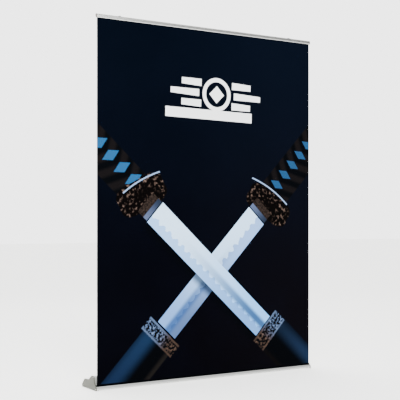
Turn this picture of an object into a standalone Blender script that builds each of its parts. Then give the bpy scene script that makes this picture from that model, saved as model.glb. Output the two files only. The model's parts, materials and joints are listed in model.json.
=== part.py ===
"""Roll-up banner stand with a low-profile cassette, two telescopic masts and a snap-open top rail.

Frame: +X to the right as seen from the front, +Y towards the back, +Z up, in metres.
The origin is on the floor, under the middle of the stand's outline.
The banner is pulled up out of the cassette, and its rail hangs on the two masts, which lean
forward from sockets behind the roller. Distances named "behind" are measured from the banner's plane.
"""

import math

import bmesh
import bpy
from mathutils import Matrix, Vector

# Banner
GRAPHIC_WIDTH = 1.500
GRAPHIC_HEIGHT = 2.060
SHEET_THICKNESS = 0.0005
SHEET_LENGTH = 2.200

# Fits
FIT = 0.0003
RUNNING_GAP = 0.0004
CUT_SPARE = 0.010

# Cassette section
CASSETTE_WALL = 0.0018
CASSETTE_SIDE_GAP = 0.004
CAP_OVERLAP = 0.001
TOE_FILLET = 0.002
LIP_REACH = 0.010
LIP_FRONT_HEIGHT = 0.015
LIP_FILLET = 0.004
SLOT_IN_FRONT = 0.001
FRONT_WALL_FOOT = (0.010, 0.036)
FRONT_WALL_FILLET = 0.012
HUMP_START = 0.024
HUMP_PAST_ROLLER = 0.002
HUMP_RUN_OUT = 0.043
CASSETTE_UNDERSIDE = 0.004
DECK_HEIGHT = 0.052
DECK_SPARE = 0.011
HEEL_RUN = 0.037
HEEL_HEIGHT = 0.014
HEEL_TUCK = 0.005
HUMP_FILLET = 0.013
HUMP_BACK_FILLET = 0.016
DECK_FILLET = 0.016
DECK_BACK_FILLET = 0.022
HEEL_FILLET = 0.009
HEEL_UNDER_FILLET = 0.005
LEAST_FILLET = 0.0002

# End caps and their screws
END_CAP_THICKNESS = 0.0055
END_CAP_UNDERSIDE = 0.001
END_CAP_EDGE = 0.0018
END_CAP_EDGE_MIDDLE = 0.3
SEAT_FLOOR = 0.002
PORT_RADIUS = 0.0036
PORT_SINK = 0.0002
REAR_PORT_FROM_HEEL = 0.009
SCREW_RADIUS = 0.0016
SCREW_HEAD_RADIUS = 0.0036
SCREW_HEAD_DEPTH = 0.0021
SCREW_LENGTH = 0.017
SCREW_SUNK = 0.0002

# Roller
ROLLER_RADIUS = 0.017
ROLLER_WALL = 0.0015
ROLLER_BEHIND = 0.049
ROLLER_HEIGHT = 0.044
ROLL_CLEARANCE = 0.0092
WEB_CLEARANCE = 0.003
SPARE_WRAPS = 2
PLUG_LENGTH = 0.022
PLUG_FLANGE = 0.002
AXLE_RADIUS = 0.004
AXLE_LENGTH = 0.030
MANDREL_LENGTH = 0.230
MANDREL_SQUARE = 0.0066
TENON_SHOULDER = 0.001
TENON_LAP = 0.0005
COLLAR_FROM_PLUG = 0.010
COLLAR_LENGTH = 0.012
ANCHOR_LENGTH = 0.016
SPRING_COIL_RADIUS = 0.0078
SPRING_WIRE_RADIUS = 0.0010
SPRING_TURNS = 18
SPRING_PITCH = 0.008
SPRING_STEPS = 8
SPRING_SIDES = 5

# Guide around which the banner turns up out of the slot
GUIDE_RADIUS = 0.004
GUIDE_HEIGHT = 0.0285
GUIDE_TAB_TOP = 0.044
GUIDE_TAB = 0.0016
GUIDE_TAB_GAP = 0.0004
SLOT_TOP = 0.033
SLOT_BOTTOM = 0.014
PRINT_BELOW_SLOT_TOP = 0.009

# Feet
FOOT_RADIUS = 0.007
FOOT_FROM_END = 0.014
FOOT_BEHIND = (0.006, 0.155)
FOOT_CHAMFER = 0.0008
FOOT_STEM = 0.0025
FOOT_BARB = 0.0036
FOOT_BARB_LENGTH = 0.002

# Masts
MAST_SPACING = 1.200
LOWER_RADIUS = 0.011
TUBE_WALL = 0.001
LOWER_LENGTH = 0.706
MIDDLE_LENGTH = 0.755
MAST_OVERLAP = 0.070
SOCKET_WALL = 0.0027
SOCKET_LIP = 0.0025
SOCKET_FLANGE = 0.0025
SOCKET_FLANGE_CORNER = 0.006
SOCKET_FLANGE_SPARE = 0.001
SOCKET_EAR = 0.0055
SOCKET_FLOOR = 0.004
SOCKET_CUP_LAP = 0.001
SOCKET_BORE_REACH = 0.080
SOCKET_SCREW_GAP = 0.0075
SOCKET_SCREW_RADIUS = 0.0013
SOCKET_SCREW_HEAD = 0.0024
SOCKET_SCREW_HEAD_DEPTH = 0.0013
SOCKET_SCREW_LENGTH = 0.009
SOCKET_SCREW_SUNK = 0.0001
LOCK_LENGTH = 0.036
LOCK_GRIP = 0.0030
LOCK_NECK = 0.016
LOCK_FOOT_CHAMFER = (0.0008, 0.0010)
LOCK_NOSE_TAPER = (0.0022, 0.006)
GLIDE_LENGTH = 0.022
GLIDE_FLANGE = 0.0025
GLIDE_WALL = 0.002
HOOK_CAP_WALL = 0.0015
HOOK_CAP_HEIGHT = 0.036
HOOK_CAP_CHAMFER = 0.0025
HOOK_CAP_RISE = 0.006
HOOK_CAP_GAP = 0.0007
HOOK_WIDTH = 0.016
HOOK_TONGUE = 0.0024
HOOK_ARM = 0.0035
HOOK_ARM_LAP = 0.0018
MAST_TOP_UP_RAIL = 0.0125

# Top rail section, in front of (-) and behind (+) the banner, and above the rail's lower edge
RAIL_HEIGHT = 0.022
RAIL_LAP = 0.0015
RAIL_OVERHANG = 0.0015
RAIL_CAP_THICKNESS = 0.004
RAIL_PLATE = 0.0016
RAIL_DEPTH_FRONT = 0.0070
CHANNEL_OPENING = 0.0040
CHANNEL_LIP = 0.0014
CHANNEL_TOP = 0.0175
CHANNEL_DEPTH = 0.0055
PLATE_FOOT = 0.0006
PLATE_ABOVE_SHEET = 0.0015
SHEET_IN_RAIL = 0.010
BEAD_FRONT = 0.0008
BEAD_BELOW_TOP = 0.0002
JAW_BEAD = 0.0017
JAW_NECK_HALF = 0.0007
JAW_SOCKET_WALL = 0.0016
JAW_SOCKET_INSIDE = (-60, 185)
JAW_SOCKET_OUTSIDE = (185, 8)
JAW_SKIN = 0.0014
JAW_WEB_GAP = 0.0006
JAW_GRIP_TOP = 0.0034
JAW_GRIP_SHELF = 0.0012
JAW_GRIP_EDGE = 0.0004

# The jaw's bulging front, as shares of RAIL_DEPTH_FRONT, and heights from its web or from its edge
JAW_BROW = ((0.66, 0.0012), (0.72, 0.0022), (0.90, -0.0008), (0.99, -0.0045), (1.0, -0.0080))
JAW_CHIN = ((0.90, 0.0020), (0.70, 0.0004), (0.45, 0))
JAW_CHIN_INSIDE = (0.52, 0.0018)
JAW_BROW_INSIDE = (0.99, -0.0050)
JAW_WEB_END = 0.70

# The rail caps' outline stands a little proud of the rail
RAIL_CAP_PROUD = 0.0004
RAIL_CAP_EDGE = (0.0008, 0.0006)

FILLET_STEPS = 3
HOLE_STEPS = 12
SCREW_STEPS = 16
ROUND_STEPS = 20
ROLLER_STEPS = 32
GUIDE_STEPS = 8
BEAD_STEPS = 14
JAW_SOCKET_STEPS = 10

# ---------------------------------------------------------------- worked out from the above
HALF_WIDTH = GRAPHIC_WIDTH / 2
CASSETTE_HALF = HALF_WIDTH + CASSETTE_SIDE_GAP
END_CAP_INNER = CASSETTE_HALF + FIT
END_CAP_OUTER = END_CAP_INNER + END_CAP_THICKNESS
ROLL_RADIUS = ROLLER_RADIUS + FIT + SPARE_WRAPS * SHEET_THICKNESS
FULL_ROLL_RADIUS = math.sqrt(ROLLER_RADIUS**2 + SHEET_THICKNESS * SHEET_LENGTH / math.pi)
SKIN_DEPTH = CAP_OVERLAP + CASSETTE_WALL
HUMP_TOP = ROLLER_HEIGHT + FULL_ROLL_RADIUS + ROLL_CLEARANCE + SKIN_DEPTH
MIDDLE_RADIUS = LOWER_RADIUS - TUBE_WALL - RUNNING_GAP
UPPER_RADIUS = MIDDLE_RADIUS - TUBE_WALL - RUNNING_GAP
SOCKET_BORE = LOWER_RADIUS + FIT
SOCKET_RADIUS = SOCKET_BORE + SOCKET_WALL
SOCKET_SCREW_OFFSET = SOCKET_RADIUS + SOCKET_SCREW_GAP
SOCKET_FLANGE_HALF_WIDTH = SOCKET_SCREW_OFFSET + SOCKET_EAR
SOCKET_FLANGE_HALF_DEPTH = SOCKET_RADIUS + SOCKET_LIP
HOOK_CAP_RADIUS = UPPER_RADIUS + FIT + HOOK_CAP_WALL
HUMP_END = ROLLER_BEHIND + HUMP_PAST_ROLLER
DECK_START = HUMP_END + HUMP_RUN_OUT
HUMP_SLOPE = math.atan2(HUMP_TOP - DECK_HEIGHT, HUMP_RUN_OUT)
DECK_TANGENT = DECK_FILLET * math.tan(HUMP_SLOPE / 2)
SOCKET_BEHIND = DECK_START + DECK_TANGENT + SOCKET_FLANGE_HALF_DEPTH + SOCKET_FLANGE_SPARE
DECK_END = SOCKET_BEHIND + SOCKET_FLANGE_HALF_DEPTH + DECK_SPARE
HEEL = DECK_END + HEEL_RUN
WEB_BEHIND = ROLLER_BEHIND + FULL_ROLL_RADIUS + WEB_CLEARANCE
DECK_SURFACE = DECK_HEIGHT - CAP_OVERLAP
FLOOR_PLATE_TOP = CASSETTE_UNDERSIDE + CASSETTE_WALL
PRINT_BOTTOM = SLOT_TOP - PRINT_BELOW_SLOT_TOP
RAIL_BOTTOM = PRINT_BOTTOM + GRAPHIC_HEIGHT - RAIL_LAP
RAIL_HALF = HALF_WIDTH + RAIL_OVERHANG
CHANNEL_FRONT = SHEET_THICKNESS / 2 + FIT + RAIL_PLATE
CHANNEL_BACK = CHANNEL_FRONT + CHANNEL_OPENING + CHANNEL_LIP
MAST_TOP_BEHIND = CHANNEL_BACK + HOOK_CAP_GAP + HOOK_CAP_RADIUS
MAST_TOP_HEIGHT = RAIL_BOTTOM + MAST_TOP_UP_RAIL
BEAD_UP = RAIL_HEIGHT - JAW_SOCKET_WALL - RUNNING_GAP - JAW_BEAD - BEAD_BELOW_TOP


def end_cap_corners():
    """The base's side outline as (behind, height, fillet radius), clockwise from the toe."""
    return [
        (-LIP_REACH, END_CAP_UNDERSIDE, TOE_FILLET),
        (-LIP_REACH, LIP_FRONT_HEIGHT, LIP_FILLET),
        (*FRONT_WALL_FOOT, FRONT_WALL_FILLET),
        (HUMP_START, HUMP_TOP, HUMP_FILLET),
        (HUMP_END, HUMP_TOP, HUMP_BACK_FILLET),
        (DECK_START, DECK_HEIGHT, DECK_FILLET),
        (DECK_END, DECK_HEIGHT, DECK_BACK_FILLET),
        (HEEL, HEEL_HEIGHT, HEEL_FILLET),
        (HEEL - HEEL_TUCK, END_CAP_UNDERSIDE, HEEL_UNDER_FILLET),
    ]


def inset(corners, depth):
    """The corners of a clockwise outline moved inwards, with fillets that stay concentric."""
    moved = []
    for i, (a, b, radius) in enumerate(corners):
        before = Vector(corners[i - 1][:2])
        here = Vector((a, b))
        after = Vector(corners[(i + 1) % len(corners)][:2])
        first = (here - before).normalized()
        second = (after - here).normalized()
        normal_1 = Vector((first.y, -first.x))
        normal_2 = Vector((second.y, -second.x))
        corner = here + (normal_1 + normal_2) * (depth / (1 + normal_1.dot(normal_2)))
        convex = first.x * second.y - first.y * second.x < 0
        moved.append((corner.x, corner.y, max(radius - depth, LEAST_FILLET) if convex else radius + depth))
    return moved


def rounded(corners, steps=FILLET_STEPS):
    """The outline's points, with each corner replaced by its fillet."""
    points = []
    for i, (a, b, radius) in enumerate(corners):
        here = Vector((a, b))
        first = (here - Vector(corners[i - 1][:2])).normalized()
        second = (Vector(corners[(i + 1) % len(corners)][:2]) - here).normalized()
        turn = math.atan2(first.x * second.y - first.y * second.x, first.dot(second))
        reach = radius * math.tan(abs(turn) / 2)
        start = here - first * reach
        side = Vector((-first.y, first.x)) * math.copysign(radius, turn)
        centre = start + side
        for k in range(steps + 1):
            angle = turn * k / steps
            spoke = Vector(
                (
                    -side.x * math.cos(angle) + side.y * math.sin(angle),
                    -side.x * math.sin(angle) - side.y * math.cos(angle),
                )
            )
            points.append(tuple(centre + spoke))
    return points


SIDE_OUTLINE = rounded(end_cap_corners())
MIDDLE_BEHIND = (min(p[0] for p in SIDE_OUTLINE) + max(p[0] for p in SIDE_OUTLINE)) / 2
BANNER_Y = -MIDDLE_BEHIND
ROLLER_Y = BANNER_Y + ROLLER_BEHIND
SOCKET_Y = BANNER_Y + SOCKET_BEHIND
MAST_LEAN = math.atan2(SOCKET_BEHIND - MAST_TOP_BEHIND, MAST_TOP_HEIGHT - DECK_SURFACE)
MAST_FOOT_HEIGHT = FLOOR_PLATE_TOP + FIT + SOCKET_FLOOR
MAST_FOOT_Y = SOCKET_Y + (DECK_SURFACE - MAST_FOOT_HEIGHT) * math.tan(MAST_LEAN)
MAST_REACH = (MAST_TOP_HEIGHT - MAST_FOOT_HEIGHT) / math.cos(MAST_LEAN)


# ---------------------------------------------------------------- tools
def clear_scene():
    for obj in list(bpy.data.objects):
        bpy.data.objects.remove(obj, do_unlink=True)


def finish_material(name, colour, roughness, metallic):
    material = bpy.data.materials.new(name)
    material.use_nodes = True
    shader = material.node_tree.nodes["Principled BSDF"]
    shader.inputs["Base Color"].default_value = (*colour, 1.0)
    shader.inputs["Roughness"].default_value = roughness
    shader.inputs["Metallic"].default_value = metallic
    return material


ORIGIN = (0, 0, 0)


def place(name, mesh, material=None, location=ORIGIN, rotation=ORIGIN, parent=None, round_piece=False):
    """Makes the mesh an object. Round pieces are shaded smooth up to 40 degrees."""
    obj = bpy.data.objects.new(name, mesh)
    bpy.context.scene.collection.objects.link(obj)
    obj.location = location
    obj.rotation_euler = rotation
    obj.parent = parent
    if material:
        mesh.materials.append(material)
    if round_piece:
        mesh.shade_smooth()
        mesh.set_sharp_from_angle(angle=math.radians(40))
    return obj


def axis_empty(name, location, rotation=ORIGIN):
    empty = bpy.data.objects.new(name, None)
    bpy.context.scene.collection.objects.link(empty)
    empty.location = location
    empty.rotation_euler = rotation
    return empty


def mesh_of(bm, name):
    bmesh.ops.recalc_face_normals(bm, faces=bm.faces)
    mesh = bpy.data.meshes.new(name)
    bm.to_mesh(mesh)
    bm.free()
    return mesh


def along_x(outline, x):
    """A (y, z) outline as points at x."""
    return [Vector((x, y, z)) for y, z in outline]


def along_z(outline, z):
    """An (x, y) outline as points at z."""
    return [Vector((x, y, z)) for x, y in outline]


def lofted(name, rings):
    """A closed solid extruded through rings of as many points each."""
    bm = bmesh.new()
    face = bm.faces.new([bm.verts.new(point) for point in rings[0]])
    verts = list(face.verts)
    for number, ring in enumerate(rings[1:]):
        extruded = bmesh.ops.extrude_face_region(bm, geom=[face])["geom"]
        if number:
            bmesh.ops.delete(bm, geom=[face], context="FACES_ONLY")
        face = next(item for item in extruded if isinstance(item, bmesh.types.BMFace))
        fresh = list(face.verts)
        verts = [min(fresh, key=lambda v: (v.co - old.co).length) for old in verts]
        for vert, point in zip(verts, ring):
            vert.co = point
    return mesh_of(bm, name)


def shifted(outline):
    """An outline given behind the banner, in the frame's y."""
    return [(BANNER_Y + a, b) for a, b in outline]


def turned(name, profile, steps=ROUND_STEPS):
    """Turns a (radius, height) profile round local Z. A profile that leaves the axis is a closed loop."""
    bm = bmesh.new()
    verts = [bm.verts.new((r, 0, s)) for r, s in profile]
    edges = [bm.edges.new(pair) for pair in zip(verts, verts[1:])]
    if profile[0][0] > 0:
        edges.append(bm.edges.new((verts[-1], verts[0])))
    bmesh.ops.spin(
        bm,
        geom=verts + edges,
        cent=(0, 0, 0),
        axis=(0, 0, 1),
        angle=2 * math.pi,
        steps=steps,
        use_merge=True,
    )
    bmesh.ops.remove_doubles(bm, verts=bm.verts, dist=1e-6)
    return mesh_of(bm, name)


def tube_profile(inner, outer, start, end):
    return [(inner, start), (outer, start), (outer, end), (inner, end)]


def rod_profile(radius, start, end):
    return [(0, start), (radius, start), (radius, end), (0, end)]


def square_outline(half):
    return [(-half, -half), (-half, half), (half, half), (half, -half)]


def combine(obj, tool, operation="DIFFERENCE"):
    """Adds the tool to obj, or cuts it from obj. The tool itself is not part of the stand."""
    tool.hide_render = True
    tool.display_type = "WIRE"
    modifier = obj.modifiers.new(f"{operation.lower()} {tool.name}", "BOOLEAN")
    modifier.operation = operation
    modifier.solver = "EXACT"
    modifier.object = tool


def ribbon(line, thickness):
    """The outline of a sheet of that thickness along an open line of points."""
    line = [Vector(p) for p in line]
    left, right = [], []
    for i, point in enumerate(line):
        along = (line[min(i + 1, len(line) - 1)] - line[max(i - 1, 0)]).normalized()
        normal = Vector((-along.y, along.x)) * (thickness / 2)
        left.append(tuple(point + normal))
        right.append(tuple(point - normal))
    return left + right[::-1]


def arc(centre, radius, start, end, steps):
    """Points on an arc, angles in degrees from behind (0) over the top (90)."""
    return [
        (
            centre[0] + radius * math.cos(math.radians(start + (end - start) * k / steps)),
            centre[1] + radius * math.sin(math.radians(start + (end - start) * k / steps)),
        )
        for k in range(steps + 1)
    ]


# ---------------------------------------------------------------- materials
def make_materials():
    return {
        "aluminium": finish_material("anodised_aluminium", (0.62, 0.63, 0.63), 0.35, 1.0),
        "cap": finish_material("grey_moulded_plastic", (0.34, 0.335, 0.29), 0.55, 0.0),
        "dark": finish_material("dark_moulded_plastic", (0.06, 0.06, 0.06), 0.5, 0.0),
        "steel": finish_material("zinc_plated_steel", (0.55, 0.55, 0.53), 0.3, 1.0),
        "rubber": finish_material("grey_rubber", (0.20, 0.19, 0.18), 0.8, 0.0),
        "print": finish_material("printed_film", (0.006, 0.008, 0.014), 0.45, 0.0),
    }


# ---------------------------------------------------------------- cassette
def port_places():
    """Where the screw ports run, behind the banner and above the floor."""
    foot_behind, foot_height = FRONT_WALL_FOOT
    wall_run = (HUMP_START - foot_behind) / (HUMP_TOP - foot_height)
    top_height = HUMP_TOP - SKIN_DEPTH - PORT_RADIUS + PORT_SINK
    top_behind = foot_behind + wall_run * (top_height - foot_height) + SKIN_DEPTH + PORT_RADIUS
    low = FLOOR_PLATE_TOP + PORT_RADIUS - PORT_SINK
    return [
        (top_behind, top_height),
        (-LIP_REACH + SKIN_DEPTH + PORT_RADIUS - PORT_SINK, low),
        (HEEL - HEEL_TUCK - REAR_PORT_FROM_HEEL, low),
    ]


def cassette_skin():
    """The extrusion's outline: the end cap's, inset all round and lifted off the floor."""
    corners = inset(end_cap_corners(), CAP_OVERLAP)
    lifted = []
    for behind, height, radius in corners:
        on_floor = height < CASSETTE_UNDERSIDE
        lifted.append((behind, CASSETTE_UNDERSIDE if on_floor else height, radius))
    return lifted


def build_cassette(mats):
    reach = CASSETTE_HALF + CUT_SPARE
    wide = reach + CUT_SPARE
    skin = cassette_skin()
    outline = shifted(rounded(skin))
    cassette = place(
        "cassette_body",
        lofted("cassette_body", [along_x(outline, -CASSETTE_HALF), along_x(outline, CASSETTE_HALF)]),
        mats["aluminium"],
    )
    hollow_outline = shifted(rounded(inset(skin, CASSETTE_WALL)))
    hollow = place(
        "cutter_hollow",
        lofted("cutter_hollow", [along_x(hollow_outline, -reach), along_x(hollow_outline, reach)]),
    )
    web_outline = [
        (BANNER_Y + WEB_BEHIND, 0),
        (BANNER_Y + WEB_BEHIND, HUMP_TOP),
        (BANNER_Y + WEB_BEHIND + CASSETTE_WALL, HUMP_TOP),
        (BANNER_Y + WEB_BEHIND + CASSETTE_WALL, 0),
    ]
    web = lofted("cutter_web", [along_x(web_outline, -wide), along_x(web_outline, wide)])
    combine(hollow, place("cutter_web", web))
    turn = (0, math.pi / 2, 0)
    for number, (behind, height) in enumerate(port_places()):
        at = (0, BANNER_Y + behind, height)
        port = turned("cutter_port", rod_profile(PORT_RADIUS, -wide, wide), HOLE_STEPS)
        combine(hollow, place(f"cutter_port_{number}", port, location=at, rotation=turn))
    combine(cassette, hollow)
    slot_outline = [
        (BANNER_Y - SHEET_THICKNESS / 2 - SLOT_IN_FRONT, SLOT_BOTTOM),
        (BANNER_Y - SHEET_THICKNESS / 2 - SLOT_IN_FRONT, SLOT_TOP),
        (BANNER_Y + ROLLER_BEHIND / 2, SLOT_TOP),
        (BANNER_Y + ROLLER_BEHIND / 2, SLOT_BOTTOM),
    ]
    slot = lofted("cutter_slot", [along_x(slot_outline, -reach), along_x(slot_outline, reach)])
    combine(cassette, place("cutter_slot", slot))
    for number, (behind, height) in enumerate(port_places()):
        at = (0, BANNER_Y + behind, height)
        bore = turned("cutter_bore", rod_profile(SCREW_RADIUS + FIT, -wide, wide), HOLE_STEPS)
        combine(cassette, place(f"cutter_bore_{number}", bore, location=at, rotation=turn))
    for side in (-1, 1):
        at = (side * MAST_SPACING / 2, SOCKET_Y, DECK_SURFACE)
        hole = turned("cutter_deck", rod_profile(SOCKET_RADIUS + FIT, -CUT_SPARE, CUT_SPARE))
        combine(cassette, place(f"cutter_deck_{side}", hole, location=at))
        for end in (-1, 1):
            at_screw = (at[0] + end * SOCKET_SCREW_OFFSET, at[1], at[2])
            pilot_profile = rod_profile(SOCKET_SCREW_RADIUS + FIT, -CUT_SPARE, CUT_SPARE)
            pilot = turned("cutter_pilot", pilot_profile, HOLE_STEPS)
            combine(cassette, place(f"cutter_pilot_{side}_{end}", pilot, location=at_screw))
    for number, (x, y) in enumerate(foot_places()):
        stem = turned("cutter_foot", rod_profile(FOOT_STEM + FIT, -CUT_SPARE, CUT_SPARE), HOLE_STEPS)
        combine(cassette, place(f"cutter_foot_{number}", stem, location=(x, y, CASSETTE_UNDERSIDE)))


def screw_profile(radius, head_radius, head_depth, length, extra=0.0, above=0.0):
    """A countersunk screw from its head at 0 downwards, or with extra its clearance hole."""
    return [
        (0, above),
        (head_radius + extra, above),
        (head_radius + extra, 0),
        (radius + extra, -head_depth - extra),
        (radius + extra, -length - extra),
        (0, -length - extra),
    ]


def build_end_cap(side, word, mats):
    corners = end_cap_corners()
    rings = [
        along_x(shifted(rounded(inset(corners, depth))), side * x)
        for x, depth in (
            (END_CAP_INNER, 0.0),
            (END_CAP_OUTER - END_CAP_EDGE, 0.0),
            (END_CAP_OUTER - END_CAP_EDGE * END_CAP_EDGE_MIDDLE, END_CAP_EDGE * END_CAP_EDGE_MIDDLE),
            (END_CAP_OUTER, END_CAP_EDGE),
        )
    ]
    cap = place(f"end_cap_{word}", lofted("end_cap", rings), mats["cap"], round_piece=True)
    seat_depth = END_CAP_THICKNESS - SEAT_FLOOR
    at = (side * END_CAP_INNER, ROLLER_Y, ROLLER_HEIGHT)
    outwards = (0, side * math.pi / 2, 0)
    if side < 0:
        seat = turned("cutter_seat", rod_profile(AXLE_RADIUS + FIT, -CUT_SPARE, seat_depth))
    else:
        square = square_outline(MANDREL_SQUARE / 2 + FIT)
        seat = lofted("cutter_seat", [along_z(square, -CUT_SPARE), along_z(square, seat_depth)])
    combine(cap, place(f"cutter_seat_{word}", seat, location=at, rotation=outwards))
    sizes = (SCREW_RADIUS, SCREW_HEAD_RADIUS, SCREW_HEAD_DEPTH, SCREW_LENGTH)
    for name, (behind, height) in zip(("top", "front", "rear"), port_places()):
        spot = (side * (END_CAP_OUTER - SCREW_SUNK), BANNER_Y + behind, height)
        hole = turned("cutter_screw", screw_profile(*sizes, extra=FIT, above=CUT_SPARE), SCREW_STEPS)
        combine(cap, place(f"cutter_screw_{word}_{name}", hole, location=spot, rotation=outwards))
        screw = turned("screw", screw_profile(*sizes), SCREW_STEPS)
        node = f"end_cap_screw_{word}_{name}"
        place(node, screw, mats["steel"], location=spot, rotation=outwards, round_piece=True)


def build_guide(mats):
    """The black nosing that the banner turns up around, with a tab behind the front wall."""
    centre = (SHEET_THICKNESS / 2 + FIT + GUIDE_RADIUS, GUIDE_HEIGHT)
    foot_behind, foot_height = FRONT_WALL_FOOT
    run = (HUMP_START - foot_behind) / (HUMP_TOP - foot_height)
    inside = SKIN_DEPTH * math.sqrt(1 + run**2) + 2 * FIT

    def wall_inner(height):
        return foot_behind + run * (height - foot_height) + inside

    under_wall = SLOT_TOP - FIT
    tab_foot = wall_inner(under_wall) + GUIDE_TAB_GAP
    outline = arc(centre, GUIDE_RADIUS, 270, 90, GUIDE_STEPS)
    outline += [
        (tab_foot, under_wall),
        (wall_inner(GUIDE_TAB_TOP), GUIDE_TAB_TOP),
        (wall_inner(GUIDE_TAB_TOP) + GUIDE_TAB, GUIDE_TAB_TOP),
        (tab_foot + GUIDE_TAB, GUIDE_HEIGHT),
    ]
    half = CASSETTE_HALF - FIT
    outline = shifted(outline)
    guide = lofted("banner_guide", [along_x(outline, -half), along_x(outline, half)])
    place("banner_guide", guide, mats["dark"])


def foot_places():
    x = CASSETTE_HALF - FOOT_FROM_END
    return [(side * x, BANNER_Y + behind) for side in (-1, 1) for behind in FOOT_BEHIND]


def build_feet(mats):
    names = ("front_left", "rear_left", "front_right", "rear_right")
    under = CASSETTE_UNDERSIDE - FIT
    above = FLOOR_PLATE_TOP + FIT
    profile = [
        (0, 0),
        (FOOT_RADIUS - FOOT_CHAMFER, 0),
        (FOOT_RADIUS, FOOT_CHAMFER),
        (FOOT_RADIUS, under),
        (FOOT_STEM, under),
        (FOOT_STEM, above),
        (FOOT_BARB, above),
        (FOOT_STEM, above + FOOT_BARB_LENGTH),
        (0, above + FOOT_BARB_LENGTH),
    ]
    for name, (x, y) in zip(names, foot_places()):
        foot = turned("foot", profile, SCREW_STEPS)
        place(f"foot_{name}", foot, mats["rubber"], location=(x, y, 0), round_piece=True)


# ---------------------------------------------------------------- roller
def build_roller(mats):
    axis = axis_empty("roller_axis", (0, ROLLER_Y, ROLLER_HEIGHT), (0, math.pi / 2, 0))
    bore = ROLLER_RADIUS - ROLLER_WALL
    tube_section = tube_profile(bore, ROLLER_RADIUS, -HALF_WIDTH, HALF_WIDTH)
    tube = turned("roller_tube", tube_section, ROLLER_STEPS)
    place("roller_tube", tube, mats["aluminium"], parent=axis, round_piece=True)
    roll_section = tube_profile(ROLLER_RADIUS + FIT, ROLL_RADIUS, -HALF_WIDTH, HALF_WIDTH)
    roll = turned("banner_roll", roll_section, ROLLER_STEPS)
    place("banner_roll", roll, mats["print"], parent=axis, round_piece=True)
    run = AXLE_RADIUS + FIT
    for side, word in ((-1, "left"), (1, "right")):
        end = HALF_WIDTH + FIT
        plug = [
            (run, end + PLUG_FLANGE),
            (ROLLER_RADIUS, end + PLUG_FLANGE),
            (ROLLER_RADIUS, end),
            (bore - FIT, end),
            (bore - FIT, end - PLUG_LENGTH),
            (run, end - PLUG_LENGTH),
        ]
        plug_mesh = turned("roller_plug", [(r, side * s) for r, s in plug])
        place(f"roller_plug_{word}", plug_mesh, mats["dark"], parent=axis, round_piece=True)
    seat = END_CAP_INNER + END_CAP_THICKNESS - SEAT_FLOOR - FIT
    pin = turned("idler_pin", rod_profile(AXLE_RADIUS, -seat, -HALF_WIDTH + AXLE_LENGTH))
    place("idler_pin", pin, mats["steel"], parent=axis, round_piece=True)
    build_spring_motor(axis, bore, run, seat, mats)


def build_spring_motor(axis, bore, run, seat, mats):
    """The fixed mandrel, its collar, the torsion spring and the anchor that turns with the roller."""
    mandrel_end = HALF_WIDTH - MANDREL_LENGTH
    tenon_start = END_CAP_INNER - TENON_SHOULDER
    mandrel = turned("spring_mandrel", rod_profile(AXLE_RADIUS, mandrel_end, tenon_start + TENON_LAP))
    mandrel = place("spring_mandrel", mandrel, mats["steel"], parent=axis, round_piece=True)
    square = square_outline(MANDREL_SQUARE / 2)
    tenon = lofted("tool_tenon", [along_z(square, tenon_start), along_z(square, seat)])
    combine(mandrel, place("tool_tenon", tenon, parent=axis), "UNION")
    collar_radius = SPRING_COIL_RADIUS + SPRING_WIRE_RADIUS
    collar_end = HALF_WIDTH - PLUG_LENGTH - COLLAR_FROM_PLUG
    collar_start = collar_end - COLLAR_LENGTH
    collar = turned("mandrel_collar", tube_profile(run, collar_radius, collar_start, collar_end))
    place("mandrel_collar", collar, mats["steel"], parent=axis, round_piece=True)
    spring_top = collar_start - FIT - SPRING_WIRE_RADIUS
    spring_length = SPRING_TURNS * SPRING_PITCH
    spring = spring_mesh(spring_top, spring_length)
    place("torsion_spring", spring, mats["steel"], parent=axis, round_piece=True)
    anchor_top = spring_top - spring_length - SPRING_WIRE_RADIUS - FIT
    anchor_section = tube_profile(run, bore - FIT, anchor_top - ANCHOR_LENGTH, anchor_top)
    anchor = turned("spring_anchor", anchor_section)
    place("spring_anchor", anchor, mats["dark"], parent=axis, round_piece=True)


def spring_mesh(top, length, per_turn=SPRING_STEPS, sides=SPRING_SIDES):
    """A helix of round wire round local Z, with flat ends."""
    bm = bmesh.new()
    rings = []
    for k in range(SPRING_TURNS * per_turn + 1):
        angle = 2 * math.pi * k / per_turn
        height = top - length * k / (SPRING_TURNS * per_turn)
        spoke = Vector((math.cos(angle), math.sin(angle), 0))
        ring = []
        for n in range(sides):
            around = 2 * math.pi * n / sides
            offset = spoke * (SPRING_WIRE_RADIUS * math.cos(around))
            lift = Vector((0, 0, SPRING_WIRE_RADIUS * math.sin(around)))
            ring.append(bm.verts.new(spoke * SPRING_COIL_RADIUS + offset + lift + Vector((0, 0, height))))
        rings.append(ring)
    for first, second in zip(rings, rings[1:]):
        for n in range(sides):
            m = (n + 1) % sides
            bm.faces.new((first[n], first[m], second[m], second[n]))
    bm.faces.new(rings[0])
    bm.faces.new(rings[-1])
    return mesh_of(bm, "torsion_spring")


# ---------------------------------------------------------------- banner
def under_both(first, first_radius, second, second_radius):
    """The angle, in degrees, at which a line under two circles touches them."""
    apart = Vector(second) - Vector(first)
    lean = math.atan2(apart.y, apart.x)
    return math.degrees(lean - math.acos((first_radius - second_radius) / apart.length))


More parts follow.
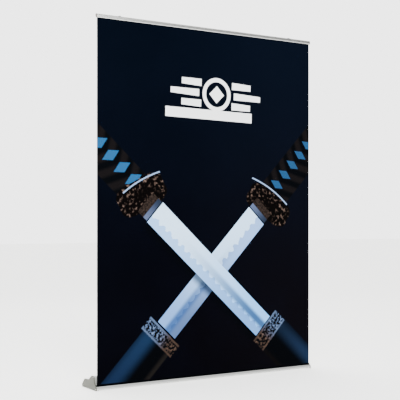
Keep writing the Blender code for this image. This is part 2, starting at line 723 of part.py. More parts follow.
def build_banner(mats):
    """The sheet from the rail down to the slot, round the guide and back to the roller."""
    half = SHEET_THICKNESS / 2
    guide = (half + FIT + GUIDE_RADIUS, GUIDE_HEIGHT)
    guide_radius = GUIDE_RADIUS + FIT + half
    roller = (ROLLER_BEHIND, ROLLER_HEIGHT)
    roll_radius = ROLL_RADIUS + FIT + half
    touch = under_both(guide, guide_radius, roller, roll_radius)
    line = [(0, RAIL_BOTTOM + SHEET_IN_RAIL)]
    line += arc(guide, guide_radius, -180, touch, GUIDE_STEPS)
    line += arc(roller, roll_radius, touch, touch, 1)[:1]
    outline = shifted(ribbon(line, SHEET_THICKNESS))
    sheet = lofted("banner_sheet", [along_x(outline, -HALF_WIDTH), along_x(outline, HALF_WIDTH)])
    place("banner_sheet", sheet, mats["print"])


# ---------------------------------------------------------------- masts
def build_socket(side, word, mats):
    """A flanged cup that drops through the deck on to the floor plate, bored along the mast."""
    at = (side * MAST_SPACING / 2, SOCKET_Y, DECK_SURFACE)
    cup_foot = FLOOR_PLATE_TOP + FIT - DECK_SURFACE
    cup = turned("pole_socket", rod_profile(SOCKET_RADIUS, cup_foot, FIT + SOCKET_CUP_LAP))
    socket = place(f"pole_socket_{word}", cup, mats["dark"], location=at, round_piece=True)
    flange_corners = [
        (x * SOCKET_FLANGE_HALF_WIDTH, y * SOCKET_FLANGE_HALF_DEPTH, SOCKET_FLANGE_CORNER)
        for x, y in square_outline(1)
    ]
    flange_outline = rounded(flange_corners)
    flange_rings = [along_z(flange_outline, FIT), along_z(flange_outline, FIT + SOCKET_FLANGE)]
    flange = place(f"tool_flange_{word}", lofted("tool_flange", flange_rings), location=at)
    combine(socket, flange, "UNION")
    axis = axis_empty(f"socket_axis_{word}", (at[0], MAST_FOOT_Y, MAST_FOOT_HEIGHT), (MAST_LEAN, 0, 0))
    bore = turned("cutter_socket", rod_profile(SOCKET_BORE, 0, SOCKET_BORE_REACH))
    combine(socket, place(f"cutter_socket_{word}", bore, parent=axis))
    sizes = (SOCKET_SCREW_RADIUS, SOCKET_SCREW_HEAD, SOCKET_SCREW_HEAD_DEPTH, SOCKET_SCREW_LENGTH)
    head_height = DECK_SURFACE + FIT + SOCKET_FLANGE - SOCKET_SCREW_SUNK
    for end, name in ((1, "outer"), (-1, "inner")):
        spot = (at[0] + side * end * SOCKET_SCREW_OFFSET, SOCKET_Y, head_height)
        hole = turned("cutter_fix", screw_profile(*sizes, extra=FIT, above=CUT_SPARE), HOLE_STEPS)
        combine(socket, place(f"cutter_fix_{word}_{name}", hole, location=spot))
        screw = turned("socket_screw", screw_profile(*sizes), HOLE_STEPS)
        place(f"socket_screw_{word}_{name}", screw, mats["steel"], location=spot, round_piece=True)


def lock_profile(tube_radius, inner_radius, top):
    """A twist-lock collar: a sleeve over the outer tube's end, and a lip round the inner tube."""
    sleeve = tube_radius + FIT
    outer = sleeve + LOCK_GRIP
    bottom = top - (LOCK_LENGTH - LOCK_NECK)
    lip = inner_radius + RUNNING_GAP
    foot_in, foot_up = LOCK_FOOT_CHAMFER
    nose_in, nose_down = LOCK_NOSE_TAPER
    return [
        (sleeve, bottom),
        (outer - foot_in, bottom),
        (outer, bottom + foot_up),
        (outer, top + LOCK_NECK - nose_down),
        (outer - nose_in, top + LOCK_NECK),
        (lip, top + LOCK_NECK),
        (lip, top + FIT),
        (sleeve, top + FIT),
    ]


def glide_profile(tube_radius, bottom):
    """A plug pushed into a tube's lower end, with a flange as wide as the tube."""
    inner = tube_radius - TUBE_WALL - FIT
    flange = bottom - GLIDE_FLANGE - FIT
    hole = inner - GLIDE_WALL
    return [
        (hole, flange),
        (tube_radius, flange),
        (tube_radius, bottom - FIT),
        (inner, bottom - FIT),
        (inner, bottom + GLIDE_LENGTH),
        (hole, bottom + GLIDE_LENGTH),
    ]


def build_mast(side, word, mats):
    """Three telescoping tubes with their glides, twist locks and hook cap, along a leaning axis."""
    foot = (side * MAST_SPACING / 2, MAST_FOOT_Y, MAST_FOOT_HEIGHT)
    axis = axis_empty(f"mast_axis_{word}", foot, (MAST_LEAN, 0, 0))
    base = GLIDE_FLANGE + 2 * FIT
    lower_top = base + LOWER_LENGTH
    middle_bottom = lower_top - MAST_OVERLAP
    middle_top = middle_bottom + MIDDLE_LENGTH
    upper_bottom = middle_top - MAST_OVERLAP
    upper_top = MAST_REACH - HOOK_CAP_RISE / 2

    def piece(name, profile, finish):
        return place(f"{name}_{word}", turned(name, profile), mats[finish], parent=axis, round_piece=True)

    def tube(name, radius, bottom, top):
        return piece(name, tube_profile(radius - TUBE_WALL, radius, bottom, top), "aluminium")

    tube("pole_lower", LOWER_RADIUS, base, lower_top)
    tube("pole_middle", MIDDLE_RADIUS, middle_bottom, middle_top)
    tube("pole_upper", UPPER_RADIUS, upper_bottom, upper_top)
    piece("pole_foot", glide_profile(LOWER_RADIUS, base), "dark")
    piece("glide_middle", glide_profile(MIDDLE_RADIUS, middle_bottom), "dark")
    piece("glide_upper", glide_profile(UPPER_RADIUS, upper_bottom), "dark")
    piece("lock_lower", lock_profile(LOWER_RADIUS, MIDDLE_RADIUS, lower_top), "dark")
    piece("lock_upper", lock_profile(MIDDLE_RADIUS, UPPER_RADIUS, middle_top), "dark")
    build_hook_cap(side, word, axis, upper_top, mats)


def build_hook_cap(side, word, axis, upper_top, mats):
    """The cap on a mast, whose upturned tongue holds the rail's channel from below."""
    cap_top = (RAIL_BOTTOM + RAIL_HEIGHT + HOOK_CAP_RISE - MAST_FOOT_HEIGHT) / math.cos(MAST_LEAN)
    bore = UPPER_RADIUS + FIT
    profile = [
        (0, upper_top + FIT),
        (bore, upper_top + FIT),
        (bore, cap_top - HOOK_CAP_HEIGHT),
        (HOOK_CAP_RADIUS, cap_top - HOOK_CAP_HEIGHT),
        (HOOK_CAP_RADIUS, cap_top - HOOK_CAP_CHAMFER),
        (HOOK_CAP_RADIUS - HOOK_CAP_CHAMFER, cap_top),
        (0, cap_top),
    ]
    cap_mesh = turned("hook_cap", profile)
    cap = place(f"hook_cap_{word}", cap_mesh, mats["dark"], parent=axis, round_piece=True)
    tongue_front = CHANNEL_FRONT + (CHANNEL_OPENING - HOOK_TONGUE) / 2
    tongue_back = tongue_front + HOOK_TONGUE
    channel_ceiling = RAIL_BOTTOM + CHANNEL_TOP - CHANNEL_LIP
    lip_bottom = channel_ceiling - CHANNEL_DEPTH
    arm_top = lip_bottom - 2 * FIT
    arm_back = MAST_TOP_BEHIND - HOOK_CAP_RADIUS + HOOK_ARM_LAP
    corners = [
        (tongue_front, arm_top - HOOK_ARM),
        (tongue_front, channel_ceiling - FIT),
        (tongue_back, channel_ceiling - FIT),
        (tongue_back, arm_top),
        (arm_back, arm_top),
        (arm_back, arm_top - HOOK_ARM),
    ]
    outline = shifted(corners)
    x = side * MAST_SPACING / 2
    rings = [along_x(outline, x - HOOK_WIDTH / 2), along_x(outline, x + HOOK_WIDTH / 2)]
    combine(cap, place(f"tool_tongue_{word}", lofted("tool_tongue", rings)), "UNION")


# ---------------------------------------------------------------- top rail
def rail_outline(points):
    """A section given behind the banner and above the rail's lower edge, in the frame."""
    return [(BANNER_Y + a, RAIL_BOTTOM + b) for a, b in points]


def build_rail_back(mats):
    """The rear profile: a clamping plate, the jaw's hinge socket and the channel for the hooks."""
    bead = (-BEAD_FRONT, BEAD_UP)
    socket_in = JAW_BEAD + RUNNING_GAP
    socket_out = socket_in + JAW_SOCKET_WALL
    plate_front = SHEET_THICKNESS / 2 + FIT
    ceiling = CHANNEL_TOP - CHANNEL_LIP
    points = [(plate_front, PLATE_FOOT), (plate_front, SHEET_IN_RAIL + PLATE_ABOVE_SHEET)]
    points += arc(bead, socket_in, *JAW_SOCKET_INSIDE, BEAD_STEPS)
    points += arc(bead, socket_out, *JAW_SOCKET_OUTSIDE, JAW_SOCKET_STEPS)
    points += [
        (CHANNEL_BACK, CHANNEL_TOP),
        (CHANNEL_BACK, ceiling - CHANNEL_DEPTH),
        (CHANNEL_BACK - CHANNEL_LIP, ceiling - CHANNEL_DEPTH),
        (CHANNEL_BACK - CHANNEL_LIP, ceiling),
        (CHANNEL_FRONT, ceiling),
        (CHANNEL_FRONT, PLATE_FOOT),
    ]
    outline = rail_outline(points)
    back = lofted("rail_back", [along_x(outline, -RAIL_HALF), along_x(outline, RAIL_HALF)])
    place("rail_back", back, mats["aluminium"])


def jaw_points():
    """The front jaw's section: a bead and neck, a bulging front and a clamping edge."""
    bead = (-BEAD_FRONT, BEAD_UP)
    spread = math.degrees(math.asin(JAW_NECK_HALF / JAW_BEAD))
    front = RAIL_DEPTH_FRONT
    grip = -(SHEET_THICKNESS / 2 + FIT)
    web_top = BEAD_UP - JAW_BEAD - RUNNING_GAP - JAW_SOCKET_WALL - JAW_WEB_GAP
    points = arc(bead, JAW_BEAD, -90 + spread, 270 - spread, BEAD_STEPS)
    points.append((-BEAD_FRONT - JAW_NECK_HALF, web_top))
    points += [(-front * share, web_top + rise) for share, rise in JAW_BROW]
    points += [(-front * share, height) for share, height in JAW_CHIN]
    chin_share, chin_height = JAW_CHIN_INSIDE
    brow_share, brow_rise = JAW_BROW_INSIDE
    belly_rise = JAW_BROW[-1][1]
    points += [
        (grip - JAW_GRIP_EDGE, JAW_GRIP_EDGE),
        (grip, JAW_GRIP_SHELF),
        (grip, JAW_GRIP_TOP),
        (grip - JAW_GRIP_SHELF, JAW_GRIP_TOP),
        (-front * chin_share, chin_height),
        (-front + JAW_SKIN + JAW_GRIP_EDGE, JAW_GRIP_TOP),
        (-front + JAW_SKIN, web_top + belly_rise),
        (-front * brow_share + JAW_SKIN, web_top + brow_rise),
        (-front * JAW_WEB_END, web_top - JAW_SKIN),
        (-BEAD_FRONT + JAW_NECK_HALF, web_top - JAW_SKIN),
    ]
    return points


def build_rail_jaw(mats):
    axis = axis_empty("jaw_axis", (0, BANNER_Y - BEAD_FRONT, RAIL_BOTTOM + BEAD_UP))
    outline = [(a + BEAD_FRONT, b - BEAD_UP) for a, b in jaw_points()]
    jaw = lofted("rail_jaw", [along_x(outline, -RAIL_HALF), along_x(outline, RAIL_HALF)])
    place("rail_jaw", jaw, mats["aluminium"], parent=axis)


def rail_cap_corners():
    """A rail cap's outline as (behind, height on the rail, fillet radius), clockwise from its toe."""
    front = RAIL_DEPTH_FRONT + RAIL_CAP_PROUD
    plate_back = CHANNEL_FRONT + RAIL_CAP_PROUD
    return [
        (-front * 0.93, 0, 0.0025),
        (-front, RAIL_HEIGHT / 2, 0.005),
        (-front * 0.72, RAIL_HEIGHT - 0.003, 0.003),
        (-0.0034, RAIL_HEIGHT, 0.0022),
        (0.0022, RAIL_HEIGHT, 0.002),
        (CHANNEL_BACK, CHANNEL_TOP + 0.0006, 0.0012),
        (CHANNEL_BACK, 0.0095, 0.001),
        (plate_back, 0.007, 0.001),
        (plate_back, 0, 0.0008),
    ]


def build_rail_end(side, word, mats):
    corners = rail_cap_corners()
    inner = RAIL_HALF + FIT
    outer = inner + RAIL_CAP_THICKNESS
    edge_back, edge_in = RAIL_CAP_EDGE
    rings = [
        along_x(rail_outline(rounded(inset(corners, depth))), side * x)
        for x, depth in ((inner, 0.0), (outer - edge_back, 0.0), (outer, edge_in))
    ]
    place(f"rail_end_{word}", lofted("rail_end", rings), mats["cap"], round_piece=True)


def main():
    clear_scene()
    mats = make_materials()
    build_cassette(mats)
    build_guide(mats)
    build_feet(mats)
    build_roller(mats)
    build_banner(mats)
    build_rail_back(mats)
    build_rail_jaw(mats)
    for side, word in ((-1, "left"), (1, "right")):
        build_rail_end(side, word, mats)
        build_end_cap(side, word, mats)
        build_socket(side, word, mats)
        build_mast(side, word, mats)


main()
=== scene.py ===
"""Looks of a wide roll-up banner stand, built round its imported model.

The frame is the model's own: +X to the right seen from the front, +Y to the back, +Z up, in metres.
The banner's outline, the cassette's section and the rail's section repeat the model's sizes, with finer
curves. Sizes named "behind" are measured from the banner's plane, as in the model.
"""

import json
import math

import bpy
from bpy.props import FloatProperty, FloatVectorProperty, IntProperty, PointerProperty
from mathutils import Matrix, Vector


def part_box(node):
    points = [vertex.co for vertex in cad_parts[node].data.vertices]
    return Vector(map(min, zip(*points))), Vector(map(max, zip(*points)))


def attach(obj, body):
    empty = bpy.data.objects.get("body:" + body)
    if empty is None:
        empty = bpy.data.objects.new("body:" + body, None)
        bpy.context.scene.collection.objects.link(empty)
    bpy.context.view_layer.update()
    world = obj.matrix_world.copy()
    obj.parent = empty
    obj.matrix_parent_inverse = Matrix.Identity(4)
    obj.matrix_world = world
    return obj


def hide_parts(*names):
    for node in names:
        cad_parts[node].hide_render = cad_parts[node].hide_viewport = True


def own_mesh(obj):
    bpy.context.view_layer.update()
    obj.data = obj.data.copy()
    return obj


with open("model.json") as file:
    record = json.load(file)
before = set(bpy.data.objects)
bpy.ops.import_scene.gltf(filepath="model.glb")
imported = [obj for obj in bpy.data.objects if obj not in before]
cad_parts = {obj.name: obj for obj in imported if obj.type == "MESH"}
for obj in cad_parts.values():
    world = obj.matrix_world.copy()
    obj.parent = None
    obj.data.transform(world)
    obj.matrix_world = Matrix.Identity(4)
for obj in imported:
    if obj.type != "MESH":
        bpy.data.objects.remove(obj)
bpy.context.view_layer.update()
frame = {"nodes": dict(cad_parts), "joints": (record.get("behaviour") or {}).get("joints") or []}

bl_info = {
    "name": "Roll-up banner stand",
    "version": (1, 0, 0),
    "blender": (4, 5, 0),
    "location": "3D View > Sidebar > Banner stand",
    "description": "Builds the finished pieces of a roll-up banner stand round its packed model",
    "category": "Object",
}

JOINTS = {joint["name"]: joint for joint in frame["joints"]}
SIDES = ((-1, "left"), (1, "right"))
END_CAP_SCREWS = ("top", "front", "rear")
SOCKET_SCREWS = ("outer", "inner")
MM = 0.001


def middle(node):
    low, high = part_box(node)
    return (low + high) / 2


# ---------------------------------------------------------------- sizes read from the model
SHEET_LOW, SHEET_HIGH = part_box("banner_sheet")
SHEET_THICKNESS = 0.5 * MM
BANNER_Y = SHEET_LOW.y + SHEET_THICKNESS / 2
HALF_WIDTH = SHEET_HIGH.x
CASSETTE_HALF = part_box("cassette_body")[1].x
CAP_LOW, CAP_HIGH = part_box("end_cap_right")
HUMP_TOP = CAP_HIGH.z
SOCKET_Y = middle("pole_socket_left").y
RAIL_LOW, RAIL_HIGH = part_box("rail_end_right")
RAIL_BOTTOM = RAIL_LOW.z
RAIL_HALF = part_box("rail_back")[1].x
ROLLER = middle("roller_tube")
MAST_LEAN = math.asin(-JOINTS["lock_lower_left_twist"]["axis"][1])
MAST_FOOT = Vector(JOINTS["lock_lower_right_twist"]["pos_m"])
MAST_AXIS = Vector(JOINTS["lock_lower_right_twist"]["axis"])

# ---------------------------------------------------------------- sizes repeated from the model
FIT = 0.3 * MM
FILM_FACE = SHEET_THICKNESS / 2 + FIT
CASSETTE_WALL = 1.8 * MM
CAP_OVERLAP = 1.0 * MM
CASSETTE_UNDERSIDE = 4.0 * MM
END_CAP_UNDERSIDE = 1.0 * MM
LIP_REACH = 10.0 * MM
LIP_FRONT_HEIGHT = 15.0 * MM
FRONT_WALL_FOOT = (10.0 * MM, 36.0 * MM)
HUMP_START = 24.0 * MM
HUMP_END = 51.0 * MM
HUMP_RUN_OUT = 43.0 * MM
DECK_HEIGHT = 52.0 * MM
HEEL_RUN = 37.0 * MM
HEEL_HEIGHT = 14.0 * MM
HEEL_TUCK = 5.0 * MM
HEEL_AT = 180.93 * MM
SLOT_TOP = 33.0 * MM
LIP_ROOT = 14.0 * MM
GUIDE_RADIUS = 4.0 * MM
GUIDE_HEIGHT = 28.5 * MM
GUIDE_CENTRE = (FILM_FACE + GUIDE_RADIUS, GUIDE_HEIGHT)
GUIDE_TAB_TOP = 44.0 * MM
GUIDE_TAB = 1.6 * MM
TUBE_WALL = 1.0 * MM
SOCKET_CUP_RADIUS = 14.0 * MM
SOCKET_FLANGE = 2.5 * MM
HOOK_CAP_RADIUS = 10.0 * MM
HOOK_TONGUE = 2.4 * MM
HOOK_ARM = 3.5 * MM
HOOK_HALF_WIDTH = 8.0 * MM
RAIL_HEIGHT = 22.0 * MM
RAIL_PLATE = 1.6 * MM
RAIL_DEPTH_FRONT = 7.0 * MM
CHANNEL_OPENING = 4.0 * MM
CHANNEL_LIP = 1.4 * MM
CHANNEL_TOP = 17.5 * MM
CHANNEL_DEPTH = 5.5 * MM
JAW_BEAD = 1.7 * MM
JAW_SOCKET_WALL = 1.6 * MM
RUNNING_GAP = 0.4 * MM
BEAD_FRONT = 0.8 * MM
BEAD_UP = RAIL_HEIGHT - JAW_SOCKET_WALL - RUNNING_GAP - JAW_BEAD - 0.2 * MM
CHANNEL_FRONT = FILM_FACE + RAIL_PLATE
RAIL_REAR = CHANNEL_FRONT + CHANNEL_OPENING + CHANNEL_LIP

# The hanging film ends just under the rail, and its clamped edge is a piece of its own above that.
JAW_MOUTH = RAIL_BOTTOM - 0.5 * MM
DROP_LENGTH = JAW_MOUTH - GUIDE_HEIGHT


# ---------------------------------------------------------------- colour and nodes
def linear(hex_colour):
    """An sRGB hex colour as linear red, green, blue and alpha."""
    parts = [int(hex_colour[i : i + 2], 16) / 255 for i in (1, 3, 5)]
    return [p / 12.92 if p <= 0.04045 else ((p + 0.055) / 1.055) ** 2.4 for p in parts] + [1.0]


def add(tree, kind, inputs=None, **settings):
    """Adds a node with its settings. An input is a value, or a socket to link from."""
    node = tree.nodes.new(kind)
    for name, value in settings.items():
        setattr(node, name, value)
    for key, value in (inputs or {}).items():
        if isinstance(value, bpy.types.NodeSocket):
            tree.links.new(value, node.inputs[key])
        else:
            node.inputs[key].default_value = value
    return node


def start_material(name):
    """A new material with its tree, its shader and the place on the piece that textures are drawn by."""
    material = bpy.data.materials.new(name)
    material.use_nodes = True
    tree = material.node_tree
    place = add(tree, "ShaderNodeTexCoord").outputs["Object"]
    return material, tree, tree.nodes["Principled BSDF"], place


def mixed(tree, factor, below, above):
    """The colour above laid over the colour below, by factor."""
    return add(tree, "ShaderNodeMix", {0: factor, 6: below, 7: above}, data_type="RGBA").outputs[2]


def shaded(shade, factor):
    """The shade made darker or lighter by a factor, still opaque."""
    return [min(c * factor, 1.0) for c in shade[:3]] + [1.0]


def maths(tree, operation, result, *values):
    """One operation on a single value, or repeated along a chain of sockets and numbers."""
    if not values:
        return add(tree, "ShaderNodeMath", {0: result}, operation=operation).outputs[0]
    for value in values:
        result = add(tree, "ShaderNodeMath", {0: result, 1: value}, operation=operation).outputs[0]
    return result


def step_up(tree, value, edge, soft):
    """0 under the edge and 1 over it, over a soft stretch."""
    inputs = {"Value": value, "From Min": edge - soft / 2, "From Max": edge + soft / 2}
    return add(tree, "ShaderNodeMapRange", inputs, interpolation_type="SMOOTHSTEP").outputs[0]


def band(tree, value, low, high, soft):
    """1 between low and high, and 0 outside."""
    rise = step_up(tree, value, low, soft)
    fall = step_up(tree, value, high, soft)
    return maths(tree, "SUBTRACT", rise, fall)


def speckle(tree, vector, size, low, high, detail=3.0):
    """Cloudy 0 to 1 with features of about that size in metres."""
    noise = add(tree, "ShaderNodeTexNoise", {"Vector": vector, "Scale": 1 / size, "Detail": detail})
    inputs = {"Value": noise.outputs["Fac"], "From Min": low, "From Max": high}
    return add(tree, "ShaderNodeMapRange", inputs).outputs[0]


def roughen(tree, shader, grain, low, high):
    """Roughness that runs from low to high with the grain."""
    rough = add(tree, "ShaderNodeMapRange", {"Value": grain, "To Min": low, "To Max": high})
    tree.links.new(rough.outputs[0], shader.inputs["Roughness"])


def emboss(tree, shader, grain, strength, height):
    """A bump from the grain, up to a height in metres."""
    bump = add(tree, "ShaderNodeBump", {"Height": grain, "Strength": strength, "Distance": height})
    tree.links.new(bump.outputs[0], shader.inputs["Normal"])


# ---------------------------------------------------------------- materials
def anodised_aluminium(name, shade, along="X", roughness=0.34):
    """Extruded and satin-anodised aluminium: even silver, with faint die lines along the extrusion."""
    material, tree, shader, place = start_material(name)
    die_line, line_length, cloud = 0.8 * MM, 900 * MM, 60 * MM
    scale = [1 / die_line] * 3
    scale["XYZ".index(along)] = 1 / line_length
    stretched = add(tree, "ShaderNodeMapping", {"Vector": place, "Scale": scale}).outputs[0]
    noise = {"Vector": stretched, "Scale": 1.0, "Detail": 4.0}
    lines = add(tree, "ShaderNodeTexNoise", noise).outputs["Fac"]
    haze = speckle(tree, place, cloud, 0.3, 0.7)
    darker = shaded(shade, 0.90)
    streaks = mixed(tree, lines, darker, shaded(shade, 1.04))
    tinted = mixed(tree, maths(tree, "MULTIPLY", haze, 0.25), streaks, darker)
    tree.links.new(tinted, shader.inputs["Base Color"])
    roughen(tree, shader, lines, roughness - 0.05, roughness + 0.07)
    emboss(tree, shader, lines, 0.12, 0.02 * MM)
    shader.inputs["Metallic"].default_value = 1.0
    return material


def moulded_abs(name, shade, roughness=0.5):
    """Injection-moulded ABS with a fine spark-eroded grain, a little lighter where the grain stands up."""
    material, tree, shader, place = start_material(name)
    # Real grain is about 0.15 mm; it is drawn twice as coarse, so that it shows.
    grain = speckle(tree, place, 0.3 * MM, 0.35, 0.65)
    flow = speckle(tree, place, 35 * MM, 0.3, 0.7)
    mottled = mixed(tree, maths(tree, "MULTIPLY", flow, 0.7), shade, shaded(shade, 0.93))
    tree.links.new(mottled, shader.inputs["Base Color"])
    roughen(tree, shader, grain, roughness - 0.06, roughness + 0.08)
    emboss(tree, shader, grain, 0.25, 0.04 * MM)
    shader.inputs["IOR"].default_value = 1.53
    return material


def zinc_plate(name, shade):
    """Bright zinc-plated steel with a faint crystalline bloom."""
    material, tree, shader, place = start_material(name)
    bloom = speckle(tree, place, 1.2 * MM, 0.3, 0.7)
    tree.links.new(mixed(tree, bloom, shaded(shade, 0.8), shade), shader.inputs["Base Color"])
    roughen(tree, shader, bloom, 0.2, 0.38)
    shader.inputs["Metallic"].default_value = 1.0
    return material


def soft_rubber(name, shade):
    """Moulded thermoplastic rubber: matt, with a powdery bloom."""
    material, tree, shader, place = start_material(name)
    bloom = speckle(tree, place, 2 * MM, 0.35, 0.75)
    powdered = mixed(tree, maths(tree, "MULTIPLY", bloom, 0.4), shade, shaded(shade, 1.35))
    tree.links.new(powdered, shader.inputs["Base Color"])
    emboss(tree, shader, bloom, 0.2, 0.05 * MM)
    shader.inputs["Roughness"].default_value = 0.78
    shader.inputs["IOR"].default_value = 1.5
    return material


# ---------------------------------------------------------------- the print
DARK_INK = linear("#020305")
# The picture is two plain crossed swords. Each has its own frame: x along the blade from the guard to
# the tip, y across it, in metres on the flat print, whose origin is at the middle of its lower edge.
# Pairs of colours run from the guard to the tip. A lozenge gives the first one's place, the row's
# height, the spacing, the lean in degrees and both reaches. A ridge runs from one y to another, with
# its colour. An edge gives its middle, its angle in degrees and half its length.
SWORD_UNDER = {
    "start": (0.3385, 0.9525),
    "angle": 226.2,
    "length": 0.928,
    "scabbard": {
        "y_range": (-0.116, 0.112),
        "shine": (-0.112, -0.02),
        "colours": ("#11233b", "#0f1d34", "#141211"),
    },
    "blade": {
        "wave_y": 0.020,
        "low_side": ("#b8dcff", "#6790ca"),
        "high_side": ("#7fa3d8", "#465c84"),
        "ridge": (-0.016, 0.030, "#2b4a7c"),
    },
    "ring": {"past_tip": (0.010, 0.100), "y_range": (-0.134, 0.130), "bronze_below": False},
    "handle": {
        "start": 0.10,
        "y_range": (-0.108, 0.108),
        "lozenge": (-0.250, -0.022, 0.088, 103.8, 0.052, 0.026),
        "blue": "#1d3f63",
    },
    "guard": {
        "centre": (-0.111, 0.020),
        "angle": -78.1,
        "radii": (0.185, 0.092),
        "edge": ((-0.196, -0.035), 102.4, 0.156),
    },
}
SWORD_OVER = {
    "start": (-0.380, 0.971),
    "angle": -42.6,
    "length": 1.042,
    "scabbard": {
        "y_range": (-0.115, 0.140),
        "shine": (0.045, 0.125),
        "colours": ("#0d1726", "#132036", "#070607"),
    },
    "blade": {
        "wave_y": -0.016,
        "low_side": ("#8ab6ea", "#5f8fcb"),
        "high_side": ("#c0e0ff", "#74b4f4"),
        "ridge": (-0.020, 0.026, "#213c66"),
    },
    "ring": {"past_tip": (0.006, 0.106), "y_range": (-0.112, 0.134), "bronze_below": True},
    "handle": {
        "start": 0.13,
        "y_range": (-0.095, 0.118),
        "lozenge": (-0.230, 0.042, 0.098, 70, 0.060, 0.032),
        "blue": "#1c4a73",
    },
    "guard": {
        "centre": (-0.131, 0.016),
        "angle": 70.5,
        "radii": (0.176, 0.098),
        "edge": ((-0.192, 0.071), 70.8, 0.135),
    },
}
BLADE_HALF = 0.0775
SCABBARD_GAP = 0.06
EDGE_SOFT = 0.0025
# The share of the film's length that is left dark at the slot, where V is too small to measure by.
UNPRINTED = 0.003


def film_place(tree, moving):
    """Where a point is on the flat print, across from its middle and up from its lower edge, and its V.

    V of the film's own map goes from 0 at the slot to 1 at the jaw's mouth. As the rail comes down the
    film shortens, so its length is its present height over V, and the print hangs from the jaw.
    """
    film = add(tree, "ShaderNodeUVMap", uv_map="film").outputs[0]
    split = add(tree, "ShaderNodeSeparateXYZ", {0: film})
    across = maths(tree, "MULTIPLY", maths(tree, "SUBTRACT", split.outputs[0], 0.5), 2 * HALF_WIDTH)
    share = maths(tree, "MAXIMUM", split.outputs[1], UNPRINTED)
    length = DROP_LENGTH
    if moving:
        now = add(tree, "ShaderNodeSeparateXYZ", {0: add(tree, "ShaderNodeTexCoord").outputs["Object"]})
        height = maths(tree, "SUBTRACT", now.outputs[2], GUIDE_HEIGHT)
        length = maths(tree, "DIVIDE", maths(tree, "MAXIMUM", height, 0.1 * UNPRINTED * DROP_LENGTH), share)
    below_top = maths(tree, "MULTIPLY", maths(tree, "SUBTRACT", 1.0, share), length)
    up = maths(tree, "SUBTRACT", DROP_LENGTH, below_top)
    return add(tree, "ShaderNodeCombineXYZ", {0: across, 1: up}).outputs[0], split.outputs[1]


def own_frame(tree, place, start, angle):
    """The place measured in a turned frame: the whole vector, along it and across it."""
    inputs = {"Vector": place, "Location": (*start, 0), "Rotation": (0, 0, math.radians(angle))}
    local = add(tree, "ShaderNodeMapping", inputs, vector_type="TEXTURE").outputs[0]
    split = add(tree, "ShaderNodeSeparateXYZ", {0: local})
    return local, split.outputs[0], split.outputs[1]


def rectangle(tree, x, y, x_range, y_range, soft=EDGE_SOFT):
    """1 inside the rectangle and 0 outside."""
    return maths(tree, "MULTIPLY", band(tree, x, *x_range, soft), band(tree, y, *y_range, soft))


def ellipse(tree, local, centre, angle, radii):
    """Distance from the centre as a share of the ellipse's rim."""
    inputs = {"Vector": local, "Location": (*centre, 0), "Rotation": (0, 0, math.radians(angle))}
    inputs["Scale"] = (*radii, 1)
    at = add(tree, "ShaderNodeMapping", inputs, vector_type="TEXTURE").outputs[0]
    flat = add(tree, "ShaderNodeVectorMath", {0: at, 1: (1, 1, 0)}, operation="MULTIPLY").outputs[0]
    return add(tree, "ShaderNodeVectorMath", {0: flat}, operation="LENGTH").outputs["Value"]


def night_background(tree, place):
    """Almost black, bluer at the top and browner at the lower right, with faint smoke."""
    split = add(tree, "ShaderNodeSeparateXYZ", {0: place})
    top = step_up(tree, split.outputs[1], 1.1, 1.9)
    right = step_up(tree, split.outputs[0], 0.1, 1.1)
    low = mixed(tree, right, linear("#020205"), linear("#050407"))
    high = mixed(tree, right, linear("#02050d"), linear("#040812"))
    smoke = speckle(tree, place, 0.45, 0.4, 0.9, 4.0)
    return mixed(tree, maths(tree, "MULTIPLY", smoke, 0.3), mixed(tree, top, low, high), linear("#060915"))


def scabbard(tree, below, x, y, start, y_range, shine, colours):
    """A lacquered scabbard past the blade, with a broad soft reflection and a thin warm one below it."""
    body = rectangle(tree, x, y, (start, 9.0), y_range)
    colour = mixed(tree, body, below, DARK_INK)
    near, far, warm = (linear(shade) for shade in colours)
    cool = maths(tree, "MULTIPLY", body, band(tree, y, *shine, 0.075))
    colour = mixed(tree, cool, colour, mixed(tree, step_up(tree, x, start + 0.2, 0.4), near, far))
    edge = y_range[0] if shine[0] + shine[1] > 0 else y_range[1]
    glint = maths(tree, "MULTIPLY", body, band(tree, y, edge * 0.9 - 0.014, edge * 0.9 + 0.014, 0.03))
    return mixed(tree, glint, colour, warm)


def blade(tree, below, local, x, y, length, wave_y, low_side, high_side, ridge):
    """A polished blade, paler near the guard, parted by a wavy temper line and darkened along its ridge."""
    body = rectangle(tree, x, y, (0, length), (-BLADE_HALF, BLADE_HALF))
    swing = maths(tree, "SINE", maths(tree, "MULTIPLY", x, math.tau / 0.058))
    ripple = maths(tree, "MULTIPLY", speckle(tree, local, 0.03, 0.3, 0.7), 0.016)
    moved = maths(tree, "ADD", y, maths(tree, "MULTIPLY", swing, 0.010), ripple)
    to_tip = step_up(tree, x, length * 0.55, length * 0.8)
    low = mixed(tree, to_tip, *(linear(shade) for shade in low_side))
    high = mixed(tree, to_tip, *(linear(shade) for shade in high_side))
    colour = mixed(tree, step_up(tree, moved, wave_y, 0.004), low, high)
    start, end, shade = ridge
    dark = maths(tree, "MULTIPLY", band(tree, y, start, end, 0.03), maths(tree, "MULTIPLY", to_tip, 0.9))
    colour = mixed(tree, dark, colour, linear(shade))
    return mixed(tree, body, below, colour)


